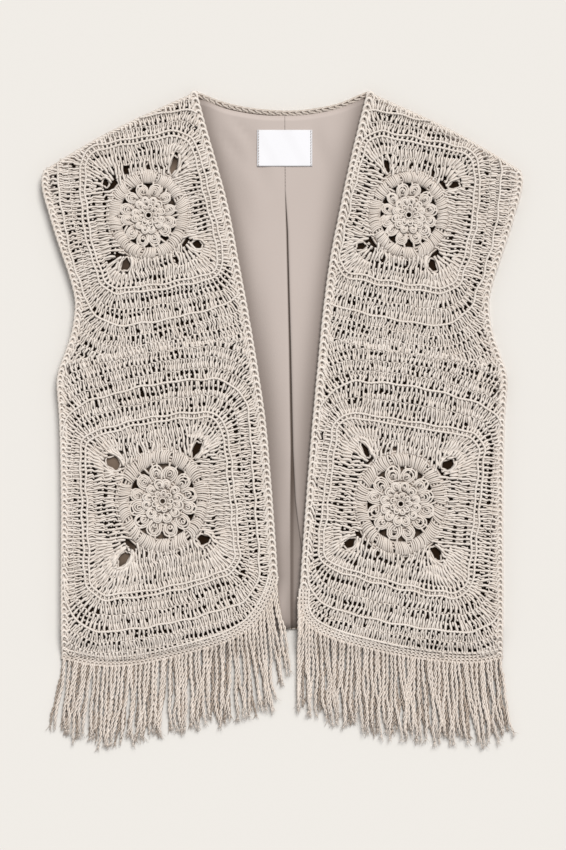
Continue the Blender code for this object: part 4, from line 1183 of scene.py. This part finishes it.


# A front's lining, from its free edge to the side and from the hem to the shoulder, painted
# dark as the shade under the lace, with painted light where light reaches it.
def makeFrontLining(name):
    sign, edge, hem = sides[name], lineOf("edge", name), lineOf("hem", name)
    hemAt = np.abs(hem[:, 0])
    order = np.argsort(hemAt)
    low, high = hemAt.min() + 12.0, hemAt.max() - 12.0

    def edgeOf(v, u):
        hemY = np.interp(low + (high - low) * u, hemAt[order], hem[order, 1]) + 12.5
        y = hemY + (bodyTop(96.0 + 160.0 * u, 8.0, 8.0) - hemY) * v
        edgeX = np.interp(y, edge[::-1, 1], edge[::-1, 0]) + sign * 12.0
        return together(edgeX + (sign * bodyHalf(y, 12.0) - edgeX) * u, y)

    def heightOf(x, y):
        z = sagging(y, stack["liningUnder"], stack["hemUnder"]) + 0.85
        return z + 0.12 * np.sin(x / 13.0 + y / 31.0) + 0.1 * np.sin(y / 23.0 - x / 41.0)

    def shadeOf(x, y):
        return np.max([0 * x] + [bright * np.exp(-(np.hypot(x - px, y - py) / reach) ** 4)
                                 for px, py, reach, bright in lit], axis=0)

    return sheetPiece("frontLining_" + name, "lining_front_" + name, 60, 36, edgeOf, heightOf,
                      shadeOf, lining["thick"], satinPaintedShade)


# The worked back: a plain closed sheet with its stitches as a fine relief in its finish.
def makeBack():
    def edgeOf(v, u):
        u = 2 * u - 1
        y = -229.6 + (bodyTop(np.abs(u) * 264.3, 0.3, 0.3) + 229.6) * v
        return together(u * bodyHalf(y, 0.0), y)

    return sheetPiece("backPanel", "back", 60, 50, edgeOf,
                      lambda x, y: 2.75 + 0.2 * np.sin(x / 1.67) * np.sin(y / 2.13),
                      lambda x, y: 0.6 + 0 * x, 2.4, stitched)


# short straight stitches of sewing thread at places x, y, raised by lift (1 - run^2)
def addStitches(store, x, y, long, across, height, lift, size):
    run = np.linspace(-long, long, 4)
    store.add(together(x[:, None] + across * run, y[:, None] + run,
                       height + lift * (1 - run ** 2)), size)


# the woven label, bare, with small stitches down its short ends
label = {"centre": (3.0, 298.5), "size": (60.6, 40.1), "top": 6.65, "thick": 0.5, "stitches": 13}


def makeLabel():
    (cx, cy), (wide, tall), top = label["centre"], label["size"], label["top"]

    def shadeOf(x, y):
        inner = np.minimum(wide / 2 - np.abs(x - cx), tall / 2 - np.abs(y - cy))
        return 1 - 0.35 * np.exp(-(inner / 0.8) ** 2) + 0.04 * np.sin(x / 5.0 + y / 9.0)

    piece = sheetPiece("labelWeave", "label", 30, 44, lambda v, u: together(
        cx + wide * (u - 0.5), cy + tall * (v - 0.5)), lambda x, y: top + 0.12 * np.sin(x / 7.0),
        shadeOf, label["thick"], labelCloth)
    store = YarnStore()
    count = label["stitches"]
    y = cy + tall * ((np.arange(count) + 0.5) / count - 0.5)
    for end in (-1, 1):
        x = cx + end * (wide / 2 - 1.6) + rng.uniform(-0.15, 0.15, count)
        addStitches(store, x, y, 1.1, 0.2, top + 0.2, 0.15, 0.32)
    return piece, store.finish("labelStitches", None, thread, "label")


def makeSeam():     # small sewing stitches down the lining's centre seam
    store = YarnStore()
    y = np.arange(258.0, 326.0, 3.4)
    x = np.interp(y, pleat[::-1, 0], pleat[::-1, 1]) + 0.3
    addStitches(store, x, y, 1.0, 0.0, stack["liningTop"] + 0.2, 0.25, 0.28)
    return store.finish("liningSeam", None, thread, "lining")


# make everything
print("fronts")
laces = {name: makeFront(name) for name in sides}
print("edges")
edgings = {name: makeEdging(name) for name in sides}
hems = {name: makeHemBand(name) for name in sides}
print("fringe")
fringes = {name: makeFringe(name) for name in sides}
neck = makeNeck()
print("linings")
backLinings = {name: makeBackLining(name) for name in sides}
frontLinings = {name: makeFrontLining(name) for name in sides}
pleatCloth = makePleat()
back = makeBack()
labelWeave, labelStitches = makeLabel()
makeSeam()

# floor, light and camera, in metres and degrees: the lamp's height over the floor, and where
# it comes from, round from +X. The picture is tall pixels high, each pixel mm, round middle.
studio = {
    "floor": (0.798, 0.777, 0.748), "half": 3.0, "world": 0.40, "air": (1.0, 0.995, 0.985, 1),
    "sun": 2.78, "sunColour": (1.0, 0.985, 0.96), "sunSoft": 32.0, "sunHeight": 52.0,
    "sunFrom": 65.0, "distance": 3.2, "tall": 850, "pixel": 1.1, "middle": (1.1, -5.5),
    "sensor": 24.0,
}


def placed(name, data):     # a new object in the scene
    made = bpy.data.objects.new(name, data)
    scene.collection.objects.link(made)
    return made


def makeStudio():
    mesh = bpy.data.meshes.new("floor")
    half = studio["half"]
    mesh.from_pydata([(-half, -half, 0), (half, -half, 0), (half, half, 0), (-half, half, 0)], [],
                     [(0, 1, 2, 3)])
    mesh.materials.append(Nodes("paperFloor").finish(studio["floor"], 0.9, 0.2))
    placed("floor", mesh)
    world = bpy.data.worlds.new("studioAir")
    world.use_nodes = True
    air = world.node_tree.nodes["Background"].inputs
    air["Color"].default_value = studio["air"]
    air["Strength"].default_value = studio["world"]
    scene.world = world
    lamp = bpy.data.lights.new("softbox", "SUN")
    lamp.energy = studio["sun"]
    lamp.angle = math.radians(studio["sunSoft"])
    lamp.color = studio["sunColour"]
    light = placed("softbox", lamp)
    turn = math.radians(studio["sunFrom"])
    light.rotation_euler = (0, math.radians(90 - studio["sunHeight"]), turn)
    light.location = (math.cos(turn), math.sin(turn), 1.5)
    camera = bpy.data.cameras.new("camera")
    view = placed("camera", camera)
    height = studio["distance"]
    view.location = (studio["middle"][0] * mm, studio["middle"][1] * mm, height)
    camera.sensor_fit = "VERTICAL"
    camera.sensor_height = studio["sensor"]
    camera.lens = studio["sensor"] * height / (studio["tall"] * studio["pixel"] * mm)
    scene.camera = view
    scene.view_settings.view_transform = "Standard"


makeStudio()


# reads the area of each face of a sheet; nothing is kept
def declare(piece):
    areas = np.empty(len(piece.data.polygons))
    piece.data.polygons.foreach_get("area", areas)


declare(back)
declare(pleatCloth)
declare(labelWeave)
for name in sides:
    declare(backLinings[name])
    declare(frontLinings[name])
